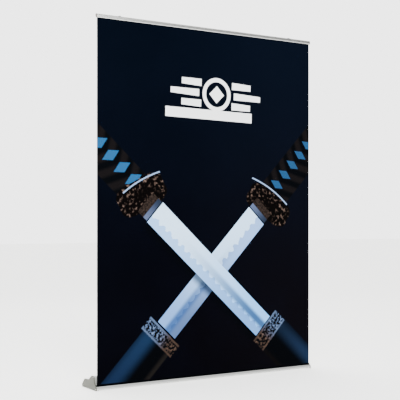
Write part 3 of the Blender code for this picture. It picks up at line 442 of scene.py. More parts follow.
def handle(tree, below, x, y, start, y_range, lozenge, blue):
    """A cord-wrapped handle, whose crossings leave a row of leaning blue lozenges between them."""
    first, centre, spacing, lean, long_reach, short_reach = lozenge
    body = rectangle(tree, x, y, (-9.0, -start), y_range, 0.006)
    side = maths(tree, "SUBTRACT", y, centre)
    away = maths(tree, "ABSOLUTE", side)
    run = maths(tree, "ADD", x, spacing * 10.5 - first)
    cord = maths(tree, "MODULO", maths(tree, "ADD", run, maths(tree, "MULTIPLY", away, 0.55)), spacing)
    fold = band(tree, cord, spacing * 0.25, spacing * 0.75, spacing * 0.3)
    colour = mixed(tree, fold, linear("#030406"), linear("#0e0c0d"))
    colour = mixed(tree, body, below, colour)
    cell = maths(tree, "SUBTRACT", maths(tree, "MODULO", run, spacing), spacing / 2)
    cosine, sine = math.cos(math.radians(lean)), math.sin(math.radians(lean))
    along = maths(tree, "ADD", maths(tree, "MULTIPLY", cell, cosine), maths(tree, "MULTIPLY", side, sine))
    side_part = maths(tree, "MULTIPLY", side, cosine)
    across = maths(tree, "SUBTRACT", side_part, maths(tree, "MULTIPLY", cell, sine))
    reach = maths(tree, "ABSOLUTE", along)
    width = maths(tree, "ABSOLUTE", across)
    long_share = maths(tree, "DIVIDE", reach, long_reach)
    size = maths(tree, "ADD", long_share, maths(tree, "DIVIDE", width, short_reach))
    inside = maths(tree, "SUBTRACT", 1.0, step_up(tree, size, 1.0, 0.12))
    cloth = maths(tree, "MULTIPLY", inside, body, step_up(tree, cord, spacing * 0.1, spacing * 0.5))
    return mixed(tree, cloth, colour, linear(blue))


def guard(tree, below, local, centre, angle, radii, edge):
    """A four-lobed guard of dark bronze: bright flecks round its rim, and one lit straight edge."""
    place = {"Vector": local, "Location": (*centre, 0), "Rotation": (0, 0, math.radians(angle))}
    place["Scale"] = (*radii, 1)
    at = add(tree, "ShaderNodeMapping", place, vector_type="TEXTURE").outputs[0]
    split = add(tree, "ShaderNodeSeparateXYZ", {0: at})
    turn = maths(tree, "ARCTAN2", split.outputs[1], split.outputs[0])
    lobes = maths(tree, "COSINE", maths(tree, "MULTIPLY", turn, 4.0))
    rim = maths(tree, "ADD", 1.0, maths(tree, "MULTIPLY", lobes, -0.09))
    far = maths(tree, "DIVIDE", ellipse(tree, local, centre, angle, radii), rim)
    body = maths(tree, "SUBTRACT", 1.0, step_up(tree, far, 1.0, 0.03))
    flecks = speckle(tree, local, 0.020, 0.54, 0.80, 6.0)
    flecks = maths(tree, "MULTIPLY", flecks, step_up(tree, far, 0.30, 0.5))
    colour = mixed(tree, body, below, mixed(tree, flecks, linear("#040303"), linear("#6a574e")))
    middle_at, edge_angle, half_length = edge
    _, run, side = own_frame(tree, local, middle_at, edge_angle)
    bowed = maths(tree, "ADD", side, maths(tree, "MULTIPLY", maths(tree, "MULTIPLY", run, run), 0.7))
    lit = rectangle(tree, run, bowed, (-half_length, half_length), (-0.004, 0.004), 0.004)
    return mixed(tree, lit, colour, linear("#7f98bd"))


def ring(tree, below, local, x, y, tip, past_tip, y_range, bronze_below):
    """The chased mouth of a scabbard: a rim, silver where it is lit and bronze in its shade."""
    start, end = (tip + past for past in past_tip)
    body = rectangle(tree, x, y, (start, end), y_range, 0.006)
    flecks = speckle(tree, local, 0.016, 0.47, 0.76, 6.0)
    rims = band(tree, x, start, start + 0.012, 0.008)
    rims = maths(tree, "MAXIMUM", rims, band(tree, x, end - 0.012, end, 0.008))
    flecks = maths(tree, "MAXIMUM", flecks, maths(tree, "MULTIPLY", rims, 0.35))
    shade = step_up(tree, y, 0.01, 0.12)
    shades = [linear("#57453b"), linear("#7089b4")]
    if not bronze_below:
        shades.reverse()
    colour = mixed(tree, flecks, linear("#050507"), mixed(tree, shade, *shades))
    return mixed(tree, body, below, colour)


def collar(tree, below, local, x, y):
    """The bronze and steel collar between guard and blade, with a dark gap before the blade."""
    body = rectangle(tree, x, y, (-0.085, 0.0), (-BLADE_HALF + 0.004, BLADE_HALF - 0.004))
    grain = speckle(tree, local, 0.012, 0.4, 0.65)
    bronze = mixed(tree, grain, linear("#14100e"), linear("#2e2521"))
    steel = mixed(tree, step_up(tree, y, 0.0, 0.15), linear("#48536f"), linear("#1c2433"))
    colour = mixed(tree, body, below, mixed(tree, step_up(tree, x, -0.037, 0.006), bronze, steel))
    gap = rectangle(tree, x, y, (-0.007, 0.001), (-BLADE_HALF, BLADE_HALF))
    return mixed(tree, gap, colour, DARK_INK)


def emblem(tree, below, place):
    """A plain white badge: a ring round a diamond, with tapering bars beside it, over one long bar."""
    local, x, y = own_frame(tree, place, (0.045, 1.680), -1.8)
    wide = maths(tree, "ABSOLUTE", x)
    tall = maths(tree, "ABSOLUTE", y)
    far = ellipse(tree, local, (0, 0), 0, (0.1, 0.1))
    circle = band(tree, far, 0.76, 1.0, 0.03)
    diamond = maths(tree, "SUBTRACT", 1.0, step_up(tree, maths(tree, "ADD", wide, tall), 0.052, 0.003))
    shapes = [circle, diamond]
    for height in (-0.062, 0.0, 0.062):
        end = 0.32 - abs(height) * 1.2
        start = 0.125 - abs(height) * 0.25
        reach = band(tree, wide, start, end, EDGE_SOFT)
        thick = maths(tree, "SUBTRACT", 0.0235, maths(tree, "MULTIPLY", wide, 0.022))
        away = maths(tree, "ABSOLUTE", maths(tree, "SUBTRACT", y, height))
        bar = step_up(tree, maths(tree, "SUBTRACT", thick, away), 0.0, EDGE_SOFT)
        shapes.append(maths(tree, "MULTIPLY", reach, bar))
    _, long_x, long_y = own_frame(tree, place, (-0.005, 1.556), -1.0)
    shapes.append(rectangle(tree, long_x, long_y, (-0.306, 0.306), (-0.029, 0.029)))
    white = shapes[0]
    for shape in shapes[1:]:
        white = maths(tree, "MAXIMUM", white, shape)
    return mixed(tree, white, below, linear("#f4f6f7"))


def picture(tree, place):
    """The whole print, from the background to what lies on top."""
    colour = night_background(tree, place)
    swords = []
    for sword in (SWORD_UNDER, SWORD_OVER):
        swords.append((sword, *own_frame(tree, place, sword["start"], sword["angle"])))
    for sword, _, x, y in swords:
        colour = scabbard(tree, colour, x, y, sword["length"] + SCABBARD_GAP, **sword["scabbard"])
    for sword, local, x, y in swords:
        tip = sword["length"]
        if sword is SWORD_OVER:
            shadow = rectangle(tree, x, y, (0, tip), (-0.118, 0.0), 0.05)
            colour = mixed(tree, maths(tree, "MULTIPLY", shadow, 0.8), colour, DARK_INK)
        colour = blade(tree, colour, local, x, y, tip, **sword["blade"])
        colour = ring(tree, colour, local, x, y, tip, **sword["ring"])
        colour = handle(tree, colour, x, y, **sword["handle"])
        colour = guard(tree, colour, local, **sword["guard"])
        colour = collar(tree, colour, local, x, y)
    return emblem(tree, colour, place)


def printed_film(name, moving):
    """Solvent-printed polyester film under a satin laminate: deep colour with a faint pebbled sheen."""
    material, tree, shader, place = start_material(name)
    flat_place, share = film_place(tree, moving)
    above_slot = step_up(tree, share, UNPRINTED * 1.2, UNPRINTED * 0.3)
    printed = mixed(tree, above_slot, DARK_INK, picture(tree, flat_place))
    tree.links.new(printed, shader.inputs["Base Color"])
    # Real laminate texture is about 0.3 mm; it is drawn at 0.8 mm, so that it shows.
    pebble = speckle(tree, place, 0.8 * MM, 0.3, 0.7)
    roughen(tree, shader, pebble, 0.55, 0.65)
    emboss(tree, shader, pebble, 0.1, 0.03 * MM)
    shader.inputs["IOR"].default_value = 1.4
    shader.inputs["Specular IOR Level"].default_value = 0.01
    return material


def film_back(name, shade):
    """The film's unprinted back: a grey opaque coat, matt, with a faint drag texture."""
    material, tree, shader, place = start_material(name)
    drag_width, drag_length = 3 * MM, 250 * MM
    scale = (1 / drag_width, 1 / drag_width, 1 / drag_length)
    drag = add(tree, "ShaderNodeMapping", {"Vector": place, "Scale": scale}).outputs[0]
    noise = add(tree, "ShaderNodeTexNoise", {"Vector": drag, "Scale": 1.0, "Detail": 3.0}).outputs["Fac"]
    tree.links.new(mixed(tree, noise, shaded(shade, 0.9), shade), shader.inputs["Base Color"])
    emboss(tree, shader, noise, 0.08, 0.05 * MM)
    shader.inputs["Roughness"].default_value = 0.6
    return material


def studio_paper(name, shade, glow):
    """Seamless background paper: matt and fibrous, and so evenly lit that it hardly shades."""
    material, tree, shader, place = start_material(name)
    fibre = speckle(tree, place, 4 * MM, 0.3, 0.7)
    tree.links.new(mixed(tree, fibre, shaded(shade, 0.985), shade), shader.inputs["Base Color"])
    shader.inputs["Roughness"].default_value = 0.9
    shader.inputs["Emission Color"].default_value = shade
    shader.inputs["Emission Strength"].default_value = glow
    return material


# ---------------------------------------------------------------- outlines
def end_cap_corners():
    """The base's side outline as (behind, height, fillet radius), clockwise from the toe."""
    deck_end = HEEL_AT - HEEL_RUN
    return [
        (-LIP_REACH, END_CAP_UNDERSIDE, 2 * MM),
        (-LIP_REACH, LIP_FRONT_HEIGHT, 4 * MM),
        (*FRONT_WALL_FOOT, 12 * MM),
        (HUMP_START, HUMP_TOP, 13 * MM),
        (HUMP_END, HUMP_TOP, 16 * MM),
        (HUMP_END + HUMP_RUN_OUT, DECK_HEIGHT, 16 * MM),
        (deck_end, DECK_HEIGHT, 22 * MM),
        (HEEL_AT, HEEL_HEIGHT, 9 * MM),
        (HEEL_AT - HEEL_TUCK, END_CAP_UNDERSIDE, 5 * MM),
    ]


def inset(corners, depth):
    """The corners of a clockwise outline moved inwards, with fillets that stay concentric."""
    moved = []
    for i, (a, b, radius) in enumerate(corners):
        here = Vector((a, b))
        first = (here - Vector(corners[i - 1][:2])).normalized()
        second = (Vector(corners[(i + 1) % len(corners)][:2]) - here).normalized()
        normals = Vector((first.y + second.y, -first.x - second.x))
        corner = here + normals * (depth / (1 + first.dot(second)))
        convex = first.x * second.y - first.y * second.x < 0
        moved.append((corner.x, corner.y, max(radius - depth, 0.2 * MM) if convex else radius + depth))
    return moved


def rounded(corners, steps=8):
    """The outline's points, with each corner replaced by its fillet."""
    points = []
    for i, (a, b, radius) in enumerate(corners):
        here = Vector((a, b))
        first = (here - Vector(corners[i - 1][:2])).normalized()
        second = (Vector(corners[(i + 1) % len(corners)][:2]) - here).normalized()
        turn = math.atan2(first.x * second.y - first.y * second.x, first.dot(second))
        side = Vector((-first.y, first.x)) * math.copysign(radius, turn)
        centre = here - first * radius * math.tan(abs(turn) / 2) + side
        for k in range(steps + 1):
            angle = turn * k / steps
            spoke = side * -math.cos(angle) + Vector((side.y, -side.x)) * math.sin(angle)
            points.append(tuple(centre + spoke))
    return points


def shifted(outline):
    """An outline given behind the banner, in the frame's y."""
    return [(BANNER_Y + a, b) for a, b in outline]


def on_rail(outline):
    """An outline given behind the banner and up from the rail's lower edge, in the frame's y and z."""
    return [(BANNER_Y + a, RAIL_BOTTOM + b) for a, b in outline]


def arc(centre, radius, start, end, steps):
    """Points on an arc, angles in degrees from behind (0) over the top (90)."""
    turns = [math.radians(start + (end - start) * k / steps) for k in range(steps + 1)]
    return [(centre[0] + radius * math.cos(t), centre[1] + radius * math.sin(t)) for t in turns]


def smooth_path(points, steps):
    """The path through the points, eased by a curve that passes through each of them."""
    path = []
    for i in range(len(points) - 1):
        p0, p1 = Vector(points[max(i - 1, 0)]), Vector(points[i])
        p2, p3 = Vector(points[i + 1]), Vector(points[min(i + 2, len(points) - 1)])
        square = p0 * 2 - p1 * 5 + p2 * 4 - p3
        cube = p1 * 3 - p0 - p2 * 3 + p3
        for k in range(steps):
            t = k / steps
            path.append(tuple((p1 * 2 + (p2 - p0) * t + square * t**2 + cube * t**3) / 2))
    return path + [tuple(points[-1])]


# ---------------------------------------------------------------- modelling by operators
def deselect_all():
    if bpy.context.mode != "OBJECT":
        bpy.ops.object.mode_set(mode="OBJECT")
    bpy.ops.object.select_all(action="DESELECT")


def make_active(obj):
    deselect_all()
    obj.select_set(True)
    bpy.context.view_layer.objects.active = obj


def loop_of(name, points):
    """A closed loop of edges through the points, made from a circle with as many corners."""
    deselect_all()
    bpy.ops.mesh.primitive_circle_add(vertices=len(points), radius=1, fill_type="NOTHING")
    obj = bpy.context.active_object
    obj.name = name
    for vert, point in zip(obj.data.vertices, points):
        vert.co = point
    return obj


def tidy(obj):
    """Merges doubled points and turns every face outwards."""
    make_active(obj)
    bpy.ops.object.mode_set(mode="EDIT")
    bpy.ops.mesh.select_all(action="SELECT")
    bpy.ops.mesh.remove_doubles(threshold=0.005 * MM)
    bpy.ops.mesh.delete_loose()
    bpy.ops.mesh.select_all(action="SELECT")
    bpy.ops.mesh.normals_make_consistent(inside=False)
    bpy.ops.object.mode_set(mode="OBJECT")


def use_modifier(obj, kind, **settings):
    make_active(obj)
    modifier = obj.modifiers.new(kind.lower(), kind)
    for name, value in settings.items():
        setattr(modifier, name, value)
    bpy.ops.object.modifier_apply(modifier=modifier.name)


def round_edges(obj, width, segments=3, angle=35):
    limit = math.radians(angle)
    use_modifier(obj, "BEVEL", width=width, segments=segments, limit_method="ANGLE", angle_limit=limit)


def finish(obj, material, body, slot, *nodes, angle=35):
    """Shades the piece, gives it its material, hides the model's pieces it stands for and hangs it on its
    body's empty.
    """
    make_active(obj)
    bpy.ops.object.transform_apply(location=True, rotation=True, scale=True)
    bpy.ops.object.shade_smooth_by_angle(angle=math.radians(angle))
    if not obj.data.materials:
        obj.data.materials.append(material)
    if nodes:
        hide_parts(*nodes)
    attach(obj, body)
    return obj


def filled_and_extruded(name, points, move):
    """The closed loop through the points, filled and extruded by the move."""
    obj = loop_of(name, points)
    make_active(obj)
    bpy.ops.object.mode_set(mode="EDIT")
    bpy.ops.mesh.select_all(action="SELECT")
    bpy.ops.mesh.edge_face_add()
    bpy.ops.mesh.extrude_region_move(TRANSFORM_OT_translate={"value": move})
    bpy.ops.object.mode_set(mode="OBJECT")
    tidy(obj)
    return obj


def extruded(name, section, x_from, x_to):
    """A (y, z) section filled and extruded along X."""
    return filled_and_extruded(name, [(x_from, y, z) for y, z in section], (x_to - x_from, 0, 0))


def turned(name, profile, steps=48):
    """A (radius, height) loop spun round Z. An edge of the loop on the axis is left out."""
    obj = loop_of(name, [(r, 0, s) for r, s in profile])
    for edge in obj.data.edges:
        edge.select = all(abs(obj.data.vertices[v].co.x) < 0.001 * MM for v in edge.vertices)
    for vert in obj.data.vertices:
        vert.select = False
    make_active(obj)
    bpy.ops.object.mode_set(mode="EDIT")
    bpy.ops.mesh.select_mode(type="EDGE")
    bpy.ops.mesh.delete(type="EDGE")
    bpy.ops.mesh.select_mode(type="VERT")
    bpy.ops.mesh.select_all(action="SELECT")
    bpy.ops.mesh.spin(steps=steps, angle=math.tau, center=(0, 0, 0), axis=(0, 0, 1))
    bpy.ops.object.mode_set(mode="OBJECT")
    tidy(obj)
    return obj


def set_on_mast(obj, side):
    """Puts a piece modelled upright at the origin on its leaning mast."""
    obj.rotation_euler = (MAST_LEAN, 0, 0)
    obj.location = (side * MAST_FOOT.x, MAST_FOOT.y, MAST_FOOT.z)


def copy_of(obj, name):
    copy = obj.copy()
    copy.data = obj.data.copy()
    copy.name = name
    bpy.context.scene.collection.objects.link(copy)
    return copy


def cut(obj, tool, operation="DIFFERENCE"):
    """Cuts the tool's shape from obj, or joins it on by UNION, and removes the tool."""
    use_modifier(obj, "BOOLEAN", operation=operation, solver="EXACT", object=tool)
    bpy.data.objects.remove(tool, do_unlink=True)


def unite(obj, tool):
    cut(obj, tool, "UNION")


def round_rim(obj, x, width):
    """Bevels only the edges of the end face at that x."""
    make_active(obj)
    for face in obj.data.polygons:
        face.select = False
    for edge in obj.data.edges:
        edge.select = False
    for vert in obj.data.vertices:
        vert.select = abs(vert.co.x - x) < 0.01 * MM
    bpy.ops.object.mode_set(mode="EDIT")
    bpy.ops.mesh.select_mode(type="VERT")
    bpy.ops.mesh.bevel(offset=width, segments=5, affect="EDGES")
    bpy.ops.object.mode_set(mode="OBJECT")


def from_mast(node):
    """A node's points, measured from its mast's foot."""
    foot = Vector(MAST_FOOT)
    if node.endswith("left"):
        foot.x = -foot.x
    return [v.co - foot for v in frame["nodes"][node].data.vertices]


def along_mast(node):
    """A node's lowest and highest reach along its mast's axis."""
    reach = [point.dot(MAST_AXIS) for point in from_mast(node)]
    return min(reach), max(reach)


def mast_radius(node):
    """A round node's outer radius about its mast's axis."""
    return max((point - MAST_AXIS * point.dot(MAST_AXIS)).length for point in from_mast(node))


# ---------------------------------------------------------------- settings
def colour(name, description, shade):
    """A colour setting, from its label, its description and its hex colour."""
    limits = {"size": 4, "subtype": "COLOR", "min": 0, "max": 1}
    return FloatVectorProperty(name=name, description=description, default=linear(shade), **limits)


class StandFinishes(bpy.types.PropertyGroup):
    """Colours of the stand's materials."""

    aluminium: colour("Aluminium", "Silver of the anodised extrusions", "#c9cac8")
    end_caps: colour("End caps", "Grey of the moulded end caps", "#46473c")
    rail_ends: colour("Rail ends", "Brown-grey of the top rail's caps", "#5f5852")
    # The guide's near-black is partly painted shade: its end beside the film stands in for the dark of the
    # slot.
    fittings: colour("Fittings", "Near-black of the mast's fittings and the guide", "#121213")
    screws: colour("Screws", "Zinc-plated steel", "#c4c3bd")
    feet: colour("Feet", "Grey of the rubber feet", "#7d7873")
    film_back: colour("Film back", "Grey of the banner's unprinted back", "#b4b5b3")
    paper: colour("Floor", "Pale background paper", "#f2f2f0")


class StandDetails(bpy.types.PropertyGroup):
    """Sizes of the details that the finished pieces add."""

    edge: FloatProperty(
        name="Edge rounding", description="Radius on the edges of moulded pieces", default=0.8 * MM,
        min=0.1 * MM, max=2 * MM, unit="LENGTH",
    )
    curl: FloatProperty(
        name="Film waviness", description="How far the film stands off its plane", default=0.5 * MM,
        min=0, max=5 * MM, unit="LENGTH",
    )
    lock_ribs: IntProperty(
        name="Lock ribs", description="Grip ribs round each twist lock", default=16, min=6, max=40,
    )


FINISHES = {}


def settings():
    scene = bpy.context.scene
    return scene.stand_finishes, scene.stand_details


class StandOperator:
    bl_options = {"REGISTER", "UNDO"}


# ---------------------------------------------------------------- operators
class STAND_OT_materials(StandOperator, bpy.types.Operator):
    """Makes the stand's materials, which the other steps use"""

    bl_idname = "stand.materials"
    bl_label = "Materials"

    def execute(self, context):
        colours, _ = settings()
        FINISHES["extrusion"] = anodised_aluminium("anodised_aluminium_extrusion", list(colours.aluminium))
        FINISHES["tube"] = anodised_aluminium("anodised_aluminium_tube", list(colours.aluminium), "Z", 0.3)
        FINISHES["cap"] = moulded_abs("moulded_abs_grey", list(colours.end_caps))
        FINISHES["rail_cap"] = moulded_abs("moulded_abs_brown_grey", list(colours.rail_ends))
        FINISHES["dark"] = moulded_abs("moulded_nylon_black", list(colours.fittings), 0.42)
        FINISHES["zinc"] = zinc_plate("zinc_plated_steel", list(colours.screws))
        FINISHES["rubber"] = soft_rubber("moulded_rubber_grey", list(colours.feet))
        FINISHES["print"] = printed_film("printed_polyester_film", True)
        FINISHES["print_fixed"] = printed_film("printed_polyester_film_in_slot", False)
        FINISHES["back"] = film_back("grey_backed_film", list(colours.film_back))
        return {"FINISHED"}


class STAND_OT_cassette(StandOperator, bpy.types.Operator):
    """Models the extruded cassette with its slot, and cuts the holes for the mast sockets"""

    bl_idname = "stand.cassette"
    bl_label = "Cassette"

    def execute(self, context):
        skin = [
            (a, CASSETTE_UNDERSIDE if b < CASSETTE_UNDERSIDE else b, r)
            for a, b, r in inset(end_cap_corners(), CAP_OVERLAP)
        ]
        slot_front = -SHEET_THICKNESS / 2 - 1 * MM

        def open_path(corners):
            points = rounded(corners)
            start = next(i for i, (a, b) in enumerate(points) if a > slot_front and b > SLOT_TOP - 2 * MM)
            path = points[start:] + points[:start]
            return [p for p in path if not (p[0] > slot_front and LIP_ROOT < p[1] < SLOT_TOP)]

        outer = open_path(skin)
        inner = open_path(inset(skin, CASSETTE_WALL))

        foot_a, foot_b = FRONT_WALL_FOOT
        slope = (foot_b - LIP_FRONT_HEIGHT) / (foot_a + LIP_REACH)
        for path in (outer, inner):
            a, b = path[-1]
            path.append((slot_front, b + (slot_front - a) * slope))
        section = shifted(outer + inner[::-1])
        body = extruded("cassette_shell", section, -CASSETTE_HALF, CASSETTE_HALF)
        for _, word in SIDES:
            at = (middle(f"pole_socket_{word}").x, SOCKET_Y, DECK_HEIGHT)
            radius = SOCKET_CUP_RADIUS + FIT
            bpy.ops.mesh.primitive_cylinder_add(vertices=48, radius=radius, depth=20 * MM, location=at)
            cut(body, bpy.context.active_object)
        finish(body, FINISHES["extrusion"], "base", "anodised_aluminium", "cassette_body")
        return {"FINISHED"}


class STAND_OT_end_caps(StandOperator, bpy.types.Operator):
    """Models the two moulded end caps, with rounded outer edges and countersunk screw seats"""

    bl_idname = "stand.end_caps"
    bl_label = "End caps"

    def execute(self, context):
        _, details = settings()
        bore = 1.9 * MM
        for side, word in SIDES:
            inner, outer = side * CAP_LOW.x, side * CAP_HIGH.x
            section = shifted(rounded(end_cap_corners(), 10))
            cap = extruded(f"moulded_end_cap_{word}", section, inner, outer)
            round_rim(cap, outer, details.edge * 2)
            for name in END_CAP_SCREWS:
                at = middle(f"end_cap_screw_{word}_{name}")
                bpy.ops.mesh.primitive_cone_add(
                    vertices=40, radius1=3.9 * MM, radius2=bore, depth=2.4 * MM,
                    location=(outer - side * 1.0 * MM, at.y, at.z), rotation=(0, -side * math.pi / 2, 0),
                )
                cut(cap, bpy.context.active_object)
                bpy.ops.mesh.primitive_cylinder_add(
                    vertices=40, radius=bore, depth=20 * MM, location=(outer, at.y, at.z),
                    rotation=(0, math.pi / 2, 0),
                )
                cut(cap, bpy.context.active_object)
            finish(cap, FINISHES["cap"], "base", "grey_plastic", f"end_cap_{word}")
        return {"FINISHED"}


class STAND_OT_screws(StandOperator, bpy.types.Operator):
    """Models one countersunk cross-head screw of each size and copies it to every place"""

    bl_idname = "stand.screws"
    bl_label = "Screws"

    def execute(self, context):
        big = self.screw("big_screw", head=3.55 * MM, shank=1.6 * MM, head_depth=2.1 * MM, length=17 * MM)
        for side, word in SIDES:
            for name in END_CAP_SCREWS:
                node = f"end_cap_screw_{word}_{name}"
                low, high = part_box(node)
                screw = copy_of(big, f"cross_head_screw_{word}_{name}")
                screw.rotation_euler = (0, side * math.pi / 2, 0)
                screw.location = middle(node)
                screw.location.x = high.x if side > 0 else low.x
                finish(screw, FINISHES["zinc"], "base", "zinc_steel", node)
        small = self.screw("small_screw", head=2.35 * MM, shank=1.3 * MM, head_depth=1.3 * MM, length=9 * MM)
        for _, word in SIDES:
            for name in SOCKET_SCREWS:
                node = f"socket_screw_{word}_{name}"
                screw = copy_of(small, f"cross_head_screw_{word}_{name}")
                screw.location = middle(node)
                screw.location.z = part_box(node)[1].z
                finish(screw, FINISHES["zinc"], "base", "zinc_steel", node)
        for spare in (big, small):
            bpy.data.objects.remove(spare, do_unlink=True)
        return {"FINISHED"}

    def screw(self, name, head, shank, head_depth, length):
        """A countersunk screw, head up with its face at the origin. Head and shank are radii."""
        profile = [(0, -length), (shank * 0.5, -length), (shank, -length + shank), (shank, -head_depth)]
        profile += [(head, -0.25 * MM), (head * 0.97, 0), (0, 0)]
        screw = turned(name, profile, 32)
        for turn in (0, math.pi / 2):
            bpy.ops.mesh.primitive_cube_add(size=1, location=(0, 0, 0), rotation=(0, 0, turn))
            blade_cut = bpy.context.active_object
            blade_cut.scale = (head * 1.15, head * 0.22, head_depth * 1.2)
            cut(screw, blade_cut)
        return screw


class STAND_OT_guide(StandOperator, bpy.types.Operator):
    """Models the black nosing that the banner turns up around. Its black end beside the film is partly
    painted shade, standing in for the dark of the slot
    """

    bl_idname = "stand.guide"
    bl_label = "Banner guide"

    def execute(self, context):
        foot_behind, foot_height = FRONT_WALL_FOOT
        run = (HUMP_START - foot_behind) / (HUMP_TOP - foot_height)
        inside = (CAP_OVERLAP + CASSETTE_WALL) * math.sqrt(1 + run**2) + 2 * FIT

        def wall(height):
            return foot_behind + run * (height - foot_height) + inside

        under = SLOT_TOP - FIT
        play = 0.4 * MM
        section = arc(GUIDE_CENTRE, GUIDE_RADIUS, 270, 90, 20)
        section += [
            (wall(under) + play, under),
            (wall(GUIDE_TAB_TOP), GUIDE_TAB_TOP),
            (wall(GUIDE_TAB_TOP) + GUIDE_TAB, GUIDE_TAB_TOP),
            (wall(under) + GUIDE_TAB + play, GUIDE_HEIGHT),
        ]
        half = CASSETTE_HALF - FIT
        nosing = extruded("guide_nosing", shifted(section), -half, half)
        round_edges(nosing, 0.3 * MM, 2)
        # The nosing is a real part. Its black, seen beside the film's edge, is partly painted shade for the
        # dark of the slot there.
        finish(nosing, FINISHES["dark"], "base", "dark_plastic", "banner_guide")
        return {"FINISHED"}


class STAND_OT_feet(StandOperator, bpy.types.Operator):
    """Models one rubber foot with a ringed sole and copies it to the four corners"""

    bl_idname = "stand.feet"
    bl_label = "Feet"

    def execute(self, context):
        low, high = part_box("foot_front_left")
        radius = (high.x - low.x) / 2
        under = CASSETTE_UNDERSIDE - FIT
        above = CASSETTE_UNDERSIDE + CASSETTE_WALL + FIT
        groove, stem = 0.35 * MM, 2.5 * MM
        profile = [(0, groove), (radius * 0.38, groove), (radius * 0.42, 0), (radius * 0.6, 0)]
        profile += [(radius * 0.64, groove), (radius * 0.74, groove), (radius * 0.78, 0)]
        profile += [(radius - 0.6 * MM, 0), (radius - 0.15 * MM, 0.25 * MM), (radius, 0.7 * MM)]
        profile += [(radius, under - 0.4 * MM), (radius - 0.4 * MM, under), (stem, under)]
        profile += [(stem, above), (3.6 * MM, above), (3.2 * MM, above + 1 * MM)]
        profile += [(2.2 * MM, high.z), (0, high.z)]
        first = turned("foot", profile, 40)
        for word in ("front_left", "rear_left", "front_right", "rear_right"):
            at = middle(f"foot_{word}")
            foot = copy_of(first, f"rubber_foot_{word}")
            foot.location = (at.x, at.y, 0)
            finish(foot, FINISHES["rubber"], "base", "grey_rubber", f"foot_{word}")
        bpy.data.objects.remove(first, do_unlink=True)
        return {"FINISHED"}


class STAND_OT_banner(StandOperator, bpy.types.Operator):
    """Makes the hanging film, which shortens as the rail comes down, and its turn round the guide"""

    bl_idname = "stand.banner"
    bl_label = "Printed banner"

    def execute(self, context):
        _, details = settings()
        drop = self.hanging_film(details.curl)
        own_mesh(drop)
        turn = self.turned_film()
        head = self.clamped_film()
        return {"FINISHED"}

    def hanging_film(self, curl):
        """The film from the slot to the jaw's mouth, waved a little away from its held ends."""
        film = self.grid("printed_banner", 100, 138)
        for vert in film.data.vertices:
            x = vert.co.x * 2 * HALF_WIDTH
            share = vert.co.y + 0.5
            z = GUIDE_HEIGHT + DROP_LENGTH * share
            # The waves fade out where the film is held, and its sides curl forward over 50 mm.
            slack = min(12 * min(share, 1 - share), 1.0)
            side = math.exp(-(HALF_WIDTH - abs(x)) / 0.05)
            wave = math.sin(x * 5.1 + 0.7) * math.sin(z * 3.3 + 0.4) + 0.6 * math.sin(x * 11 - z * 2.1)
            vert.co = (x, BANNER_Y + slack * curl * (0.6 * wave - 1.6 * side), z)
        self.make_thick(film, "print")
        return finish(film, None, "base", "printed_film", "banner_sheet", angle=60)

    def clamped_film(self):
        """The film's top edge, which the jaw holds and the rail carries."""
        film = self.grid("printed_banner_head", 60, 2)
        for vert in film.data.vertices:
            share = vert.co.y + 0.5
            vert.co = (vert.co.x * 2 * HALF_WIDTH, BANNER_Y, JAW_MOUTH + (SHEET_HIGH.z - JAW_MOUTH) * share)
        for corner in film.data.uv_layers["film"].data:
            corner.uv = (corner.uv[0], 1)
        self.make_thick(film, "print_fixed")
        return finish(film, None, "rail", "printed_film", angle=60)

    def turned_film(self):
        """The film round the guide and back to the roller's underside."""
        radius = GUIDE_RADIUS + FILM_FACE
        roll = (ROLLER.y - BANNER_Y, ROLLER.z)
        roll_low, roll_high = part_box("banner_roll")
        roll_radius = (roll_high.z - roll_low.z) / 2 + FILM_FACE
        apart = Vector(roll) - Vector(GUIDE_CENTRE)
        touch = math.degrees(math.atan2(apart.y, apart.x) - math.acos((radius - roll_radius) / apart.length))
        path = arc(GUIDE_CENTRE, radius, -180, touch, 16)
        path.append(arc(roll, roll_radius, touch, touch, 1)[0])
        self.turn_length = sum((Vector(a) - Vector(b)).length for a, b in zip(path, path[1:]))
        film = self.grid("printed_banner_turn", 60, len(path) - 1)
        for vert in film.data.vertices:
            step = round((vert.co.y + 0.5) * (len(path) - 1))
            behind, height = path[step]
            vert.co = (-vert.co.x * 2 * HALF_WIDTH, BANNER_Y + behind, height)
        for corner in film.data.uv_layers["film"].data:
            corner.uv = (1 - corner.uv[0], 0)
        self.make_thick(film, "print_fixed")
        return finish(film, None, "base", "printed_film", angle=60)

    def grid(self, name, columns, rows):
        """A unit grid with its own map, named film."""
        deselect_all()
        bpy.ops.mesh.primitive_grid_add(x_subdivisions=columns, y_subdivisions=rows, size=1)
        film = bpy.context.active_object
        film.name = name
        film.data.uv_layers[0].name = "film"
        return film

    def make_thick(self, film, print_name):
        """Gives the film its thickness, with the print on the face that is forward or outside."""
        for finish_name in (print_name, "back"):
            film.data.materials.append(FINISHES[finish_name])
        sides = {"material_offset": 1, "material_offset_rim": 0}
        use_modifier(film, "SOLIDIFY", thickness=0.35 * MM, offset=0.0, **sides)


